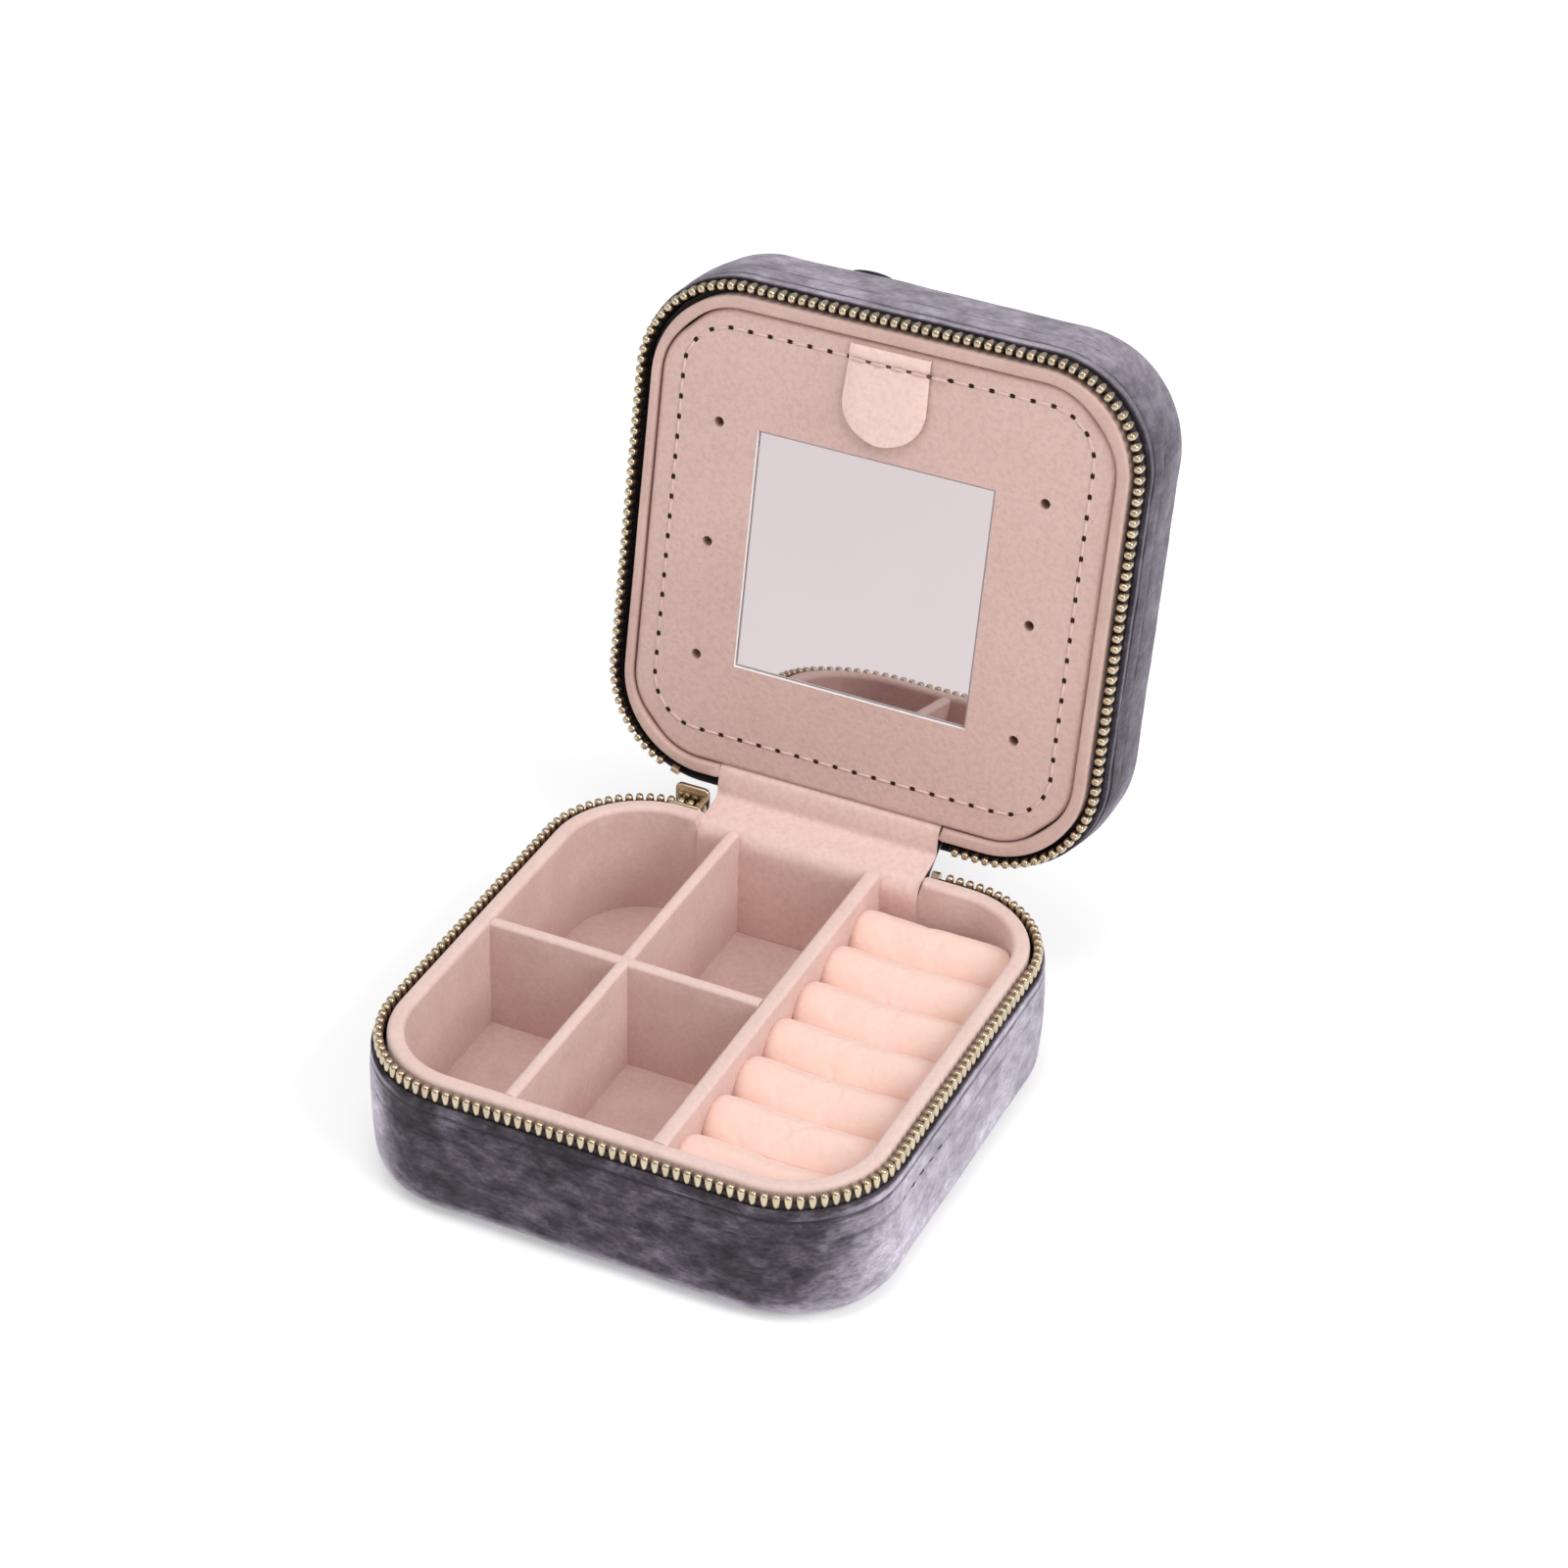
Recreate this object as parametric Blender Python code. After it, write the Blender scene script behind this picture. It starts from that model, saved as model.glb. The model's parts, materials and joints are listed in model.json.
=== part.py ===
"""Travel jewelry case: a zipped square box with an open lid, dividers, ring rolls and a mirror panel.

The origin is the centre of the underside, +Z is up, +X is right and +Y runs to the rear, where the lid
is hinged.  Lengths are in millimetres until a mesh is made.  Lid pieces are drawn as if the lid were
shut and hang on the lid's pivot, which holds them open.
"""

import math

import bmesh
import bpy
from mathutils import Matrix, Vector

MM = 0.001

# ---------------------------------------------------------------- driving dimensions
HALF = 50.0                     # half the outside width and depth
CORNER = 21.0                   # outside corner radius in plan
PARTING = 28.0                  # height of the plane where base and lid meet
LID_DEPTH = 24.0                # depth of the lid from the parting plane
EDGE_FILLET = 5.4               # rounding between the walls and the outside faces
OPEN_DEG = 100.5                 # how far the lid stands open
CLEAR = 0.3                     # gap between neighbouring pieces

# layers of the wall, as offsets inwards from the outside
COVER = (0.0, 1.0)
TAPE = (1.3, 2.1)
SHELL = (2.4, 3.6)
LINING = (3.9, 6.0)
LID_LINING = (3.9, 5.4)
CHAIN = (0.5, 2.3)
BAY = LINING[1] + CLEAR         # what stands inside the lining

# levels, as distances from the parting plane
COVER_EDGE = 3.6
CHAIN_LEVELS = (0.3, 3.2)
TAPE_LEVELS = (3.5, 14.0)
RIM = 0.3
RIM_ROUND = 1.0
HINGE_RECESS = 1.2

# thicknesses counted up from the outside face
BASE_SHELL_SKIN = (1.3, 2.5)
LID_PAD_SKIN = (1.3, 2.3)
LID_SHELL_SKIN = (2.6, 3.8)
FLOOR_TOP = 4.8
LID_LINING_SKIN = (4.1, 5.9)

# the hinge: one soft strip inside and one outside, each in two leaves
HINGE_Y = 51.0
HINGE_X = (-24.8, 20.1)
STRIP = 0.6
STRIP_BOTTOM = 12.0
STRIP_END_Y = 50.4
HINGE_COVER_LEVELS = (1.2, 14.0)

# dividers and ring rolls
DIVIDER = 2.4
CROSS_Y = -0.8
MID_X = -17.3
RING_DIVIDER_X = (9.7, 12.7)
DIVIDER_Z = (5.1, 27.3)
DIVIDER_REAR = 42.8
ROLLS = 7
ROLL_PITCH = 12.1
ROLL_R = 5.9
ROLL_FIRST_Y = -37.6
ROLL_TOP = 24.5
ROLL_X = (13.0, 43.7)
RING_BOARD_Z = (5.1, 6.3)

# flip panel in the lid, levels from the parting plane
PANEL_HALF = 44.3
PANEL_CUT = 9.8                 # how far its corners are cut back
PANEL_ROUND = 12.0
PANEL_FACE = 1.1
PANEL_BACK = 4.5
PANEL_EDGE_R = 1.5
PANEL_SKIN = 0.6
PANEL_PIVOT = (42.6, 1.1)       # y and level of its hinge line, in the plane of its face
PANEL_TAPE = ((-24.0, 25.0), (30.0, 40.5), (PARTING + 4.7, PARTING + 5.2))
MIRROR = 46.4
MIRROR_AT = (-0.8, 0.7)
MIRROR_LEVELS = (1.5, 2.6)
EARRING_X = 32.0
EARRING_Y = (-22.4, 1.0, 23.6)
EARRING_R = 1.0
TAB_X = -0.1
TAB_R = 7.85
TAB_LEVELS = (0.35, 0.85)
TAB_ROOT_Y = -43.2
TAB_FOLD_Y = -40.6
TAB_END_Y = -25.8

# zip slider, parked where the rear left corner begins
ZIP_LEFT = 27.6                 # run of the base chain from the middle of the rear, going left
ZIP_RIGHT = 22.9                # and the distance short of the middle where both chains end
LID_ZIP_LEFT = 35.4             # the lid's chain starts past the parked slider
STOP_RUN = 1.9                  # from the end of a chain to the far side of its stop
SLIDER_HALF = 3.5
SLIDER_PLATES = ((46.5, 47.1), (49.8, 50.8))
SLIDER_Z = (25.2, 28.6, 30.0)   # foot, top of the inner plate, top of the outer plate
BAIL_AT = (52.6, 26.6)          # y and z of the bail's bar
BAIL_R = 0.45
PULL_FOOT = 12.0

CORNER_AT = HALF - CORNER       # distance of each corner's centre from the middle planes
SIDE = 2.0 * CORNER_AT
QUARTER = CORNER * math.pi / 2.0
PERIMETER = 4.0 * (SIDE + QUARTER)
CLOSED_BASE = -1                # sides of the parting plane
CLOSED_LID = 1

# ---------------------------------------------------------------- colours (linear)
VELVET = (0.13, 0.11, 0.15)
BOARD = (0.45, 0.42, 0.40)
SUEDE = (0.68, 0.47, 0.44)
PEACH = (0.86, 0.60, 0.52)
PANEL_PINK = (0.70, 0.47, 0.42)
STRIP_PINK = (0.76, 0.55, 0.50)
TAB_PEACH = (0.88, 0.66, 0.60)
TAPE_BLACK = (0.02, 0.017, 0.017)
BRASS = (0.72, 0.58, 0.32)
SILVER = (0.85, 0.85, 0.86)


# ---------------------------------------------------------------- scene helpers
def clear_scene():
    for obj in list(bpy.data.objects):
        bpy.data.objects.remove(obj, do_unlink=True)


def pivot(name, at, parent=None, turn_x=0.0):
    """An empty on a joint's axis, at a place given in millimetres of the shut case."""
    empty = bpy.data.objects.new(name, None)
    bpy.context.collection.objects.link(empty)
    home = Vector(parent["home"]) if parent else Vector((0.0, 0.0, 0.0))
    empty["home"] = at
    empty.parent = parent
    empty.location = (Vector(at) - home) * MM
    empty.rotation_euler = (math.radians(turn_x), 0.0, 0.0)
    return empty


def add_object(name, bm, parent=None, guide=False):
    """Turn a bmesh in millimetres of the shut case into an object under its pivot."""
    bmesh.ops.recalc_face_normals(bm, faces=bm.faces)
    home = Vector(parent["home"]) if parent else Vector((0.0, 0.0, 0.0))
    bm.transform(Matrix.Scale(MM, 4) @ Matrix.Translation(-home))
    mesh = bpy.data.meshes.new(name)
    bm.to_mesh(mesh)
    bm.free()
    obj = bpy.data.objects.new(name, mesh)
    bpy.context.collection.objects.link(obj)
    obj.parent = parent
    if guide:
        obj.hide_render = True
        obj.display_type = 'WIRE'
    return obj


def finish_piece(obj, colour, roughness, metallic=0.0, smooth_deg=None):
    """Give a piece its own material, and smooth shading where it is round."""
    mat = bpy.data.materials.new(obj.name)
    mat.use_nodes = True
    shader = mat.node_tree.nodes["Principled BSDF"]
    shader.inputs["Base Color"].default_value = (*colour, 1.0)
    shader.inputs["Roughness"].default_value = roughness
    shader.inputs["Metallic"].default_value = metallic
    obj.data.materials.append(mat)
    if smooth_deg is not None:
        obj.data.shade_smooth()
        obj.data.set_sharp_from_angle(angle=math.radians(smooth_deg))


def boolean(obj, cutter, operation):
    mod = obj.modifiers.new(cutter.name, 'BOOLEAN')
    mod.operation = operation
    mod.solver = 'EXACT'
    mod.object = cutter


def bevel_edges(obj, width, segments=2):
    mod = obj.modifiers.new("bevel", 'BEVEL')
    mod.width = width * MM
    mod.segments = segments
    mod.limit_method = 'ANGLE'


# ---------------------------------------------------------------- outlines
def turned(vec, quarter_turns):
    """A plan vector turned anticlockwise by quarter turns."""
    x, y = vec
    for _ in range(quarter_turns % 4):
        x, y = -y, x
    return (x, y)


def rim_point(run):
    """Point and outward normal on the outside, a run's length from the middle of the rear, going left."""
    side, rest = divmod((run + CORNER_AT) % PERIMETER, SIDE + QUARTER)
    if rest <= SIDE:
        point, normal = (CORNER_AT - rest, HALF), (0.0, 1.0)
    else:
        angle = (rest - SIDE) / CORNER
        normal = (-math.sin(angle), math.cos(angle))
        point = (CORNER * normal[0] - CORNER_AT, CORNER * normal[1] + CORNER_AT)
    return turned(point, int(side)), turned(normal, int(side))


def rim_stations(start, end, corner_steps):
    """Frames along the outside from one run to another, with every corner divided evenly."""
    runs = {start, end}
    for side in range(4):
        first = CORNER_AT + side * (SIDE + QUARTER)
        for step in range(corner_steps + 1):
            run = first + QUARTER * step / corner_steps
            if start < run < end:
                runs.add(run)
    return [rim_point(run) for run in sorted(runs)]


def rim_loop(corner_steps=6):
    """Frames all the way round the outside."""
    return rim_stations(CORNER_AT, PERIMETER + CORNER_AT - 0.001, corner_steps)[:-1]


def panel_loop(arc_steps=3):
    """Frames round the flip panel: a square with cut corners whose bends are arcs."""
    half_bend = math.pi / 8.0
    inset = PANEL_ROUND * math.tan(half_bend)
    straight_end = PANEL_HALF - PANEL_CUT - inset
    frames = []
    for side in range(4):
        for step in range(arc_steps + 1):
            angle = 2.0 * half_bend * step / arc_steps
            normal = (-math.sin(angle), math.cos(angle))
            centre = (-straight_end, PANEL_HALF - PANEL_ROUND)
            point = tuple(c + PANEL_ROUND * n for c, n in zip(centre, normal))
            frames.append((turned(point, side), turned(normal, side)))
        for step in range(arc_steps + 1):
            angle = 2.0 * half_bend * (1.0 + step / arc_steps)
            normal = (-math.sin(angle), math.cos(angle))
            centre = (PANEL_ROUND - PANEL_HALF, straight_end)
            point = tuple(c + PANEL_ROUND * n for c, n in zip(centre, normal))
            frames.append((turned(point, side), turned(normal, side)))
    return frames


def bend(centre, radii, start_deg, end_deg, steps=3):
    """Profile points on an elliptical arc, as (offset, level)."""
    points = []
    for step in range(steps + 1):
        angle = math.radians(start_deg + (end_deg - start_deg) * step / steps)
        points.append((centre[0] + radii[0] * math.cos(angle), centre[1] + radii[1] * math.sin(angle)))
    return points


# ---------------------------------------------------------------- solids
def skin(frames, profile, side=CLOSED_BASE, closed_path=True, closed_profile=False):
    """Carry a profile of (offset, level) points along frames; open ends are capped."""
    bm = bmesh.new()
    rings = []
    for offset, level in profile:
        height = PARTING + side * level
        rings.append([bm.verts.new((p[0] - n[0] * offset, p[1] - n[1] * offset, height))
                      for p, n in frames])
    count, columns = len(rings), len(frames)
    for i in range(count if closed_profile else count - 1):
        low, high = rings[i], rings[(i + 1) % count]
        for j in range(columns if closed_path else columns - 1):
            k = (j + 1) % columns
            bm.faces.new((low[j], low[k], high[k], high[j]))
    if not closed_profile:
        bm.faces.new(rings[0])
        bm.faces.new(rings[-1])
    if not closed_path:
        bm.faces.new([ring[0] for ring in rings])
        bm.faces.new([ring[-1] for ring in rings])
    return bm


def prism(points, low, high, axis='Z'):
    """A polygon carried along an axis; for X its points are (y, z), for Z they are (x, y)."""
    bm = bmesh.new()

    def place(point, along):
        return (along, *point) if axis == 'X' else (*point, along)

    ends = [[bm.verts.new(place(point, along)) for point in points] for along in (low, high)]
    count = len(points)
    for i in range(count):
        j = (i + 1) % count
        bm.faces.new((ends[0][i], ends[0][j], ends[1][j], ends[1][i]))
    bm.faces.new(ends[0])
    bm.faces.new(ends[1])
    return bm


def block(x, y, z):
    return prism([(x[0], y[0]), (x[1], y[0]), (x[1], y[1]), (x[0], y[1])], z[0], z[1])


def slab(frames, offset, levels, side):
    """A flat plate whose outline runs a given offset inside its frames."""
    return skin(frames, [(offset, levels[0]), (offset, levels[1])], side)


def disc_points(centre, radius, steps):
    return [(centre[0] + radius * math.cos(2.0 * math.pi * i / steps),
             centre[1] + radius * math.sin(2.0 * math.pi * i / steps)) for i in range(steps)]


# ---------------------------------------------------------------- walls shared by base and lid
def tub_profile(depth, layer, skin_range, edge):
    """Outside and inside of an open tub whose lower edge is rounded."""
    centre = (EDGE_FILLET, depth - EDGE_FILLET)
    outer = (EDGE_FILLET - layer[0], EDGE_FILLET - skin_range[0])
    inner = (EDGE_FILLET - layer[1], EDGE_FILLET - skin_range[1])
    return (bend(centre, outer, 90.0, 180.0) + [(layer[0], edge), (layer[1], edge)]
            + bend(centre, inner, 180.0, 90.0))


def lining_profile(depth, shell_inside, layer):
    """A wall with a rounded rim, chamfered where it meets the rounded foot of the shell."""
    foot = depth - shell_inside - 0.4
    middle = (layer[0] + layer[1]) / 2.0
    rim = bend((middle, RIM + RIM_ROUND), (middle - layer[0], RIM_ROUND), 180.0, 360.0, 6)
    return [(layer[1] - 0.4, foot), (layer[0], depth - EDGE_FILLET)] + rim + [(layer[1], foot)]


def build_walls(prefix, depth, side, parent, shell_skin, lining, zip_left):
    """Cover, shell, lining wall, zip tape and zip chain of one half of the case."""
    loop = rim_loop()
    profile = tub_profile(depth, COVER, COVER, COVER_EDGE)
    cover = add_object(prefix + "_cover", skin(loop, profile, side), parent)
    finish_piece(cover, VELVET, 0.85, smooth_deg=40)
    profile = tub_profile(depth, SHELL, shell_skin, COVER_EDGE)
    shell = add_object(prefix + "_shell", skin(loop, profile, side), parent)
    finish_piece(shell, BOARD, 0.7, smooth_deg=40)

    profile = lining_profile(depth, shell_skin[1], lining)
    wall = add_object(prefix + "_lining_wall", skin(loop, profile, side, closed_profile=True), parent)
    levels = sorted((PARTING + side * HINGE_RECESS, PARTING - side))
    recess = add_object(prefix + "_rim_recess",
                        block((HINGE_X[0] - CLEAR, HINGE_X[1] + CLEAR), (HALF - BAY - 2.0, HALF), levels),
                        parent, guide=True)
    boolean(wall, recess, 'DIFFERENCE')
    finish_piece(wall, SUEDE, 0.9, smooth_deg=40)

    end = PERIMETER - ZIP_RIGHT
    tape = add_object(prefix + "_zip_tape",
                      skin(rim_stations(zip_left - 1.0, end + 1.2, 6),
                           [(TAPE[0], TAPE_LEVELS[0]), (TAPE[1], TAPE_LEVELS[0]),
                            (TAPE[1], TAPE_LEVELS[1]), (TAPE[0], TAPE_LEVELS[1])],
                           side, closed_path=False, closed_profile=True), parent)
    finish_piece(tape, TAPE_BLACK, 0.8)
    chain = add_object(prefix + "_zip_chain",
                       skin(rim_stations(zip_left, end, 9), chain_profile(), side,
                            closed_path=False, closed_profile=True), parent)
    finish_piece(chain, BRASS, 0.3, 1.0, smooth_deg=50)


def chain_profile():
    """Rounded section of the zip chain."""
    centre = ((CHAIN[0] + CHAIN[1]) / 2.0, (CHAIN_LEVELS[0] + CHAIN_LEVELS[1]) / 2.0)
    radii = ((CHAIN[1] - CHAIN[0]) / 2.0, (CHAIN_LEVELS[1] - CHAIN_LEVELS[0]) / 2.0)
    return bend(centre, radii, 22.5, 337.5, 7)


def zip_stop(name, start, end, side, parent):
    """A crimped metal stop across the end of a chain."""
    stop = add_object(name, skin(rim_stations(start, end, 9), chain_profile(), side,
                                 closed_path=False, closed_profile=True), parent)
    finish_piece(stop, BRASS, 0.35, 1.0)


# ---------------------------------------------------------------- base
def build_base():
    build_walls("base", PARTING, CLOSED_BASE, None, BASE_SHELL_SKIN, LINING, ZIP_LEFT)
    floor_levels = (PARTING - FLOOR_TOP, PARTING - BASE_SHELL_SKIN[1] - CLEAR)
    pad = add_object("base_floor_pad", slab(rim_loop(), BAY, floor_levels, CLOSED_BASE))
    finish_piece(pad, SUEDE, 0.9)
    zip_stop("base_top_stop", ZIP_LEFT - STOP_RUN, ZIP_LEFT - CLEAR, CLOSED_BASE, None)
    end = PERIMETER - ZIP_RIGHT
    zip_stop("zip_bottom_stop", end + CLEAR, end + STOP_RUN, CLOSED_BASE, None)
    build_dividers()
    build_ring_rolls()


def divider(name, section, low, high, across, slot=None):
    """An upright divider with rounded top edges; across is 'X' or 'Y', slot is a guide that is cut out."""
    left, right = section
    foot, top = DIVIDER_Z
    crown = (right - left) / 2.0
    middle = (left + right) / 2.0
    outline = [(left, foot), (right, foot)] + bend((middle, top - crown), (crown, crown), 0.0, 180.0, 6)
    bm = prism(outline, low, high, 'X')
    if across == 'Y':
        for vert in bm.verts:
            vert.co.x, vert.co.y = vert.co.y, vert.co.x
    obj = add_object(name, bm)
    if slot:
        boolean(obj, slot, 'DIFFERENCE')
    finish_piece(obj, SUEDE, 0.9, smooth_deg=40)


def build_dividers():
    """Two thin dividers halved over each other, and a thicker one beside the ring rolls."""
    inside = HALF - BAY
    half = DIVIDER / 2.0
    room = half + CLEAR
    halfway = (DIVIDER_Z[0] + DIVIDER_Z[1]) / 2.0
    upper = add_object("cross_slot", block((MID_X - room, MID_X + room), (CROSS_Y - 4.0, CROSS_Y + 4.0),
                                           (halfway - CLEAR, DIVIDER_Z[1] + 1.0)), guide=True)
    lower = add_object("mid_slot", block((MID_X - 4.0, MID_X + 4.0), (CROSS_Y - room, CROSS_Y + room),
                                         (DIVIDER_Z[0] - 1.0, halfway)), guide=True)
    cross_end = RING_DIVIDER_X[0] - CLEAR
    divider("cross_divider", (CROSS_Y - half, CROSS_Y + half), -inside, cross_end, 'X', upper)
    divider("mid_divider", (MID_X - half, MID_X + half), -inside, DIVIDER_REAR, 'Y', lower)
    divider("ring_divider", RING_DIVIDER_X, -inside, DIVIDER_REAR, 'Y')


def build_ring_rolls():
    """Foam rolls side by side on a board, trimmed to the rounded corners of the bay."""
    bay = add_object("ring_bay", slab(rim_loop(), BAY, (-5.0, PARTING), CLOSED_BASE), guide=True)
    inside = HALF - BAY
    board = add_object("ring_board", block(ROLL_X, (-inside, DIVIDER_REAR), RING_BOARD_Z))
    boolean(board, bay, 'INTERSECT')
    finish_piece(board, BOARD, 0.7)
    for index in range(ROLLS):
        middle = ROLL_FIRST_Y + index * ROLL_PITCH
        foot = RING_BOARD_Z[1] + CLEAR
        outline = [(middle - ROLL_R, foot), (middle + ROLL_R, foot)]
        outline += bend((middle, ROLL_TOP - ROLL_R), (ROLL_R, ROLL_R), 0.0, 180.0, 8)
        roll = add_object("ring_roll_%d" % (index + 1), prism(outline, *ROLL_X, 'X'))
        boolean(roll, bay, 'INTERSECT')
        finish_piece(roll, PEACH, 0.9, smooth_deg=40)


# ---------------------------------------------------------------- lid
def build_lid(lid):
    build_walls("lid", LID_DEPTH, CLOSED_LID, lid, LID_SHELL_SKIN, LID_LINING, LID_ZIP_LEFT)
    loop = rim_loop()
    levels = [LID_DEPTH - skin for skin in LID_PAD_SKIN]
    pad = add_object("lid_pad", slab(loop, EDGE_FILLET + 0.2, levels, CLOSED_LID), lid)
    finish_piece(pad, BOARD, 0.9)
    levels = [LID_DEPTH - skin for skin in LID_LINING_SKIN]
    lining = add_object("lid_back_lining", slab(loop, LID_LINING[1] + CLEAR, levels, CLOSED_LID), lid)
    finish_piece(lining, SUEDE, 0.9)
    zip_stop("lid_top_stop", LID_ZIP_LEFT - STOP_RUN, LID_ZIP_LEFT - CLEAR, CLOSED_LID, lid)


def build_hinge(lid):
    """Leaves of the soft hinge: a smooth strip inside and a pile strip outside."""
    wall = HALF - LINING[1] - CLEAR
    top = PARTING - RIM
    section = [(wall - STRIP, STRIP_BOTTOM), (wall, STRIP_BOTTOM), (wall, top - STRIP),
               (STRIP_END_Y, top - STRIP), (STRIP_END_Y, top), (wall - STRIP, top)]
    leaf = add_object("hinge_lining_base", prism(section, *HINGE_X, 'X'))
    finish_piece(leaf, STRIP_PINK, 0.6)
    leaf = add_object("hinge_lining_lid", block(HINGE_X, (HALF - LINING[1] + 0.2, STRIP_END_Y),
                                                (PARTING + RIM, PARTING + RIM + STRIP)), lid)
    finish_piece(leaf, STRIP_PINK, 0.6)
    depth = (HALF - TAPE[1], HALF - TAPE[0])
    near, far = HINGE_COVER_LEVELS
    leaf = add_object("hinge_cover_base", block(HINGE_X, depth, (PARTING - far, PARTING - near)))
    finish_piece(leaf, VELVET, 0.85)
    leaf = add_object("hinge_cover_lid", block(HINGE_X, depth, (PARTING + near, PARTING + far)), lid)
    finish_piece(leaf, VELVET, 0.85)


# ---------------------------------------------------------------- flip panel
def square_block(size, centre, levels):
    half = size / 2.0
    return block((centre[0] - half, centre[0] + half), (centre[1] - half, centre[1] + half),
                 [PARTING + level for level in levels])


def build_panel(panel):
    """A stiff board wrapped in a smooth skin, backed, with a mirror let in and six earring holes."""
    loop = panel_loop()
    centre = (PANEL_EDGE_R, PANEL_FACE + PANEL_EDGE_R)
    outer = bend(centre, (PANEL_EDGE_R, PANEL_EDGE_R), 270.0, 180.0)
    inner_r = PANEL_EDGE_R - PANEL_SKIN
    inner = bend(centre, (inner_r, inner_r), 180.0, 270.0)
    profile = outer + [(0.0, PANEL_BACK - 0.8), (0.3, PANEL_BACK), (PANEL_SKIN, PANEL_BACK)] + inner

    opening = square_block(MIRROR + 2.0 * CLEAR, MIRROR_AT, (0.0, MIRROR_LEVELS[1] + CLEAR))
    window = add_object("mirror_window", opening, panel, guide=True)
    holes = earring_cutter(panel)
    face = add_object("panel_face", skin(loop, profile, CLOSED_LID), panel)
    board = add_object("panel_board", slab(loop, PANEL_SKIN + CLEAR, (2.0, 3.6), CLOSED_LID), panel)
    back = add_object("panel_back", slab(loop, PANEL_SKIN + CLEAR, (3.9, 4.4), CLOSED_LID), panel)
    for piece in (face, board):
        boolean(piece, window, 'DIFFERENCE')
    for piece in (face, board, back):
        boolean(piece, holes, 'DIFFERENCE')
    finish_piece(face, PANEL_PINK, 0.6, smooth_deg=40)
    finish_piece(board, BOARD, 0.7)
    finish_piece(back, SUEDE, 0.9)

    mirror = add_object("mirror", square_block(MIRROR, MIRROR_AT, MIRROR_LEVELS), panel)
    bevel_edges(mirror, 0.3, 1)
    finish_piece(mirror, SILVER, 0.02, 1.0)
    tape = add_object("panel_tape", block(*PANEL_TAPE), panel)
    finish_piece(tape, STRIP_PINK, 0.6)


def earring_cutter(panel):
    """Six round pins that pierce the panel."""
    bm = bmesh.new()
    for x in (-EARRING_X, EARRING_X):
        for y in EARRING_Y:
            pin = prism(disc_points((x, y), EARRING_R, 12), PARTING - 1.0, PARTING + PANEL_BACK + 2.0)
            mesh = bpy.data.meshes.new("pin")
            pin.to_mesh(mesh)
            pin.free()
            bm.from_mesh(mesh)
            bpy.data.meshes.remove(mesh)
    return add_object("earring_pins", bm, panel, guide=True)


def build_tab(panel, tab):
    """The pull tab: a sewn-down root on the panel and a free flap with a round end."""
    levels = [PARTING + level for level in TAB_LEVELS]
    width = (TAB_X - TAB_R, TAB_X + TAB_R)
    root = add_object("tab_anchor", block(width, (TAB_ROOT_Y, TAB_FOLD_Y - 0.35), levels), panel)
    finish_piece(root, TAB_PEACH, 0.6)
    round_y = TAB_END_Y - TAB_R
    outline = [(TAB_X - TAB_R, TAB_FOLD_Y + 0.15), (TAB_X + TAB_R, TAB_FOLD_Y + 0.15)]
    outline += bend((TAB_X, round_y), (TAB_R, TAB_R), 0.0, 180.0, 12)
    flap = add_object("pull_tab", prism(outline, *levels), tab)
    finish_piece(flap, TAB_PEACH, 0.6)


# ---------------------------------------------------------------- zip slider
def build_slider(slider):
    """Two plates either side of the chain, a post over it, and a bail for the pull."""
    along = (-CORNER_AT - SLIDER_HALF, -CORNER_AT + SLIDER_HALF)
    foot, low_top, high_top = SLIDER_Z
    inner, outer = SLIDER_PLATES
    post_x = (along[1] - 0.9, along[1])
    reach = (outer[1] - 0.2, BAIL_AT[0] + BAIL_R)
    legs_z = (BAIL_AT[1] - 0.5, BAIL_AT[1] + 0.5)
    bar = disc_points(BAIL_AT, BAIL_R, 10)
    parts = {
        "slider_inner_plate": block(along, inner, (foot, low_top)),
        "slider_post": block(post_x, (inner[0], outer[1]), (PARTING, PARTING + 1.0)),
        "slider_leg_left": block((along[0] + 0.8, along[0] + 1.6), reach, legs_z),
        "slider_leg_right": block((along[1] - 1.6, along[1] - 0.8), reach, legs_z),
        "slider_bar": prism(bar, along[0] + 1.2, along[1] - 1.2, 'X'),
    }
    body = add_object("zip_slider", block(along, outer, (foot, high_top)), slider)
    for name, bm in parts.items():
        boolean(body, add_object(name, bm, slider, guide=True), 'UNION')
    finish_piece(body, BRASS, 0.3, 1.0)


def build_pull(pull):
    """A flat tongue hanging from an eye round the bail's bar."""
    def across(points, half):
        return prism(points, -CORNER_AT - half, -CORNER_AT + half, 'X')

    eye = add_object("zip_pull", across(disc_points(BAIL_AT, 1.4, 16), 1.1), pull)
    tongue = [(BAIL_AT[0] - 0.4, PULL_FOOT), (BAIL_AT[0] + 0.4, PULL_FOOT),
              (BAIL_AT[0] + 0.4, BAIL_AT[1] - 1.0), (BAIL_AT[0] - 0.4, BAIL_AT[1] - 1.0)]
    plate = add_object("pull_plate", across(tongue, 2.2), pull, guide=True)
    bore = add_object("pull_bore", across(disc_points(BAIL_AT, BAIL_R + 0.3, 16), 3.0), pull, guide=True)
    boolean(eye, plate, 'UNION')
    boolean(eye, bore, 'DIFFERENCE')
    finish_piece(eye, BRASS, 0.3, 1.0, smooth_deg=40)


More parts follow.
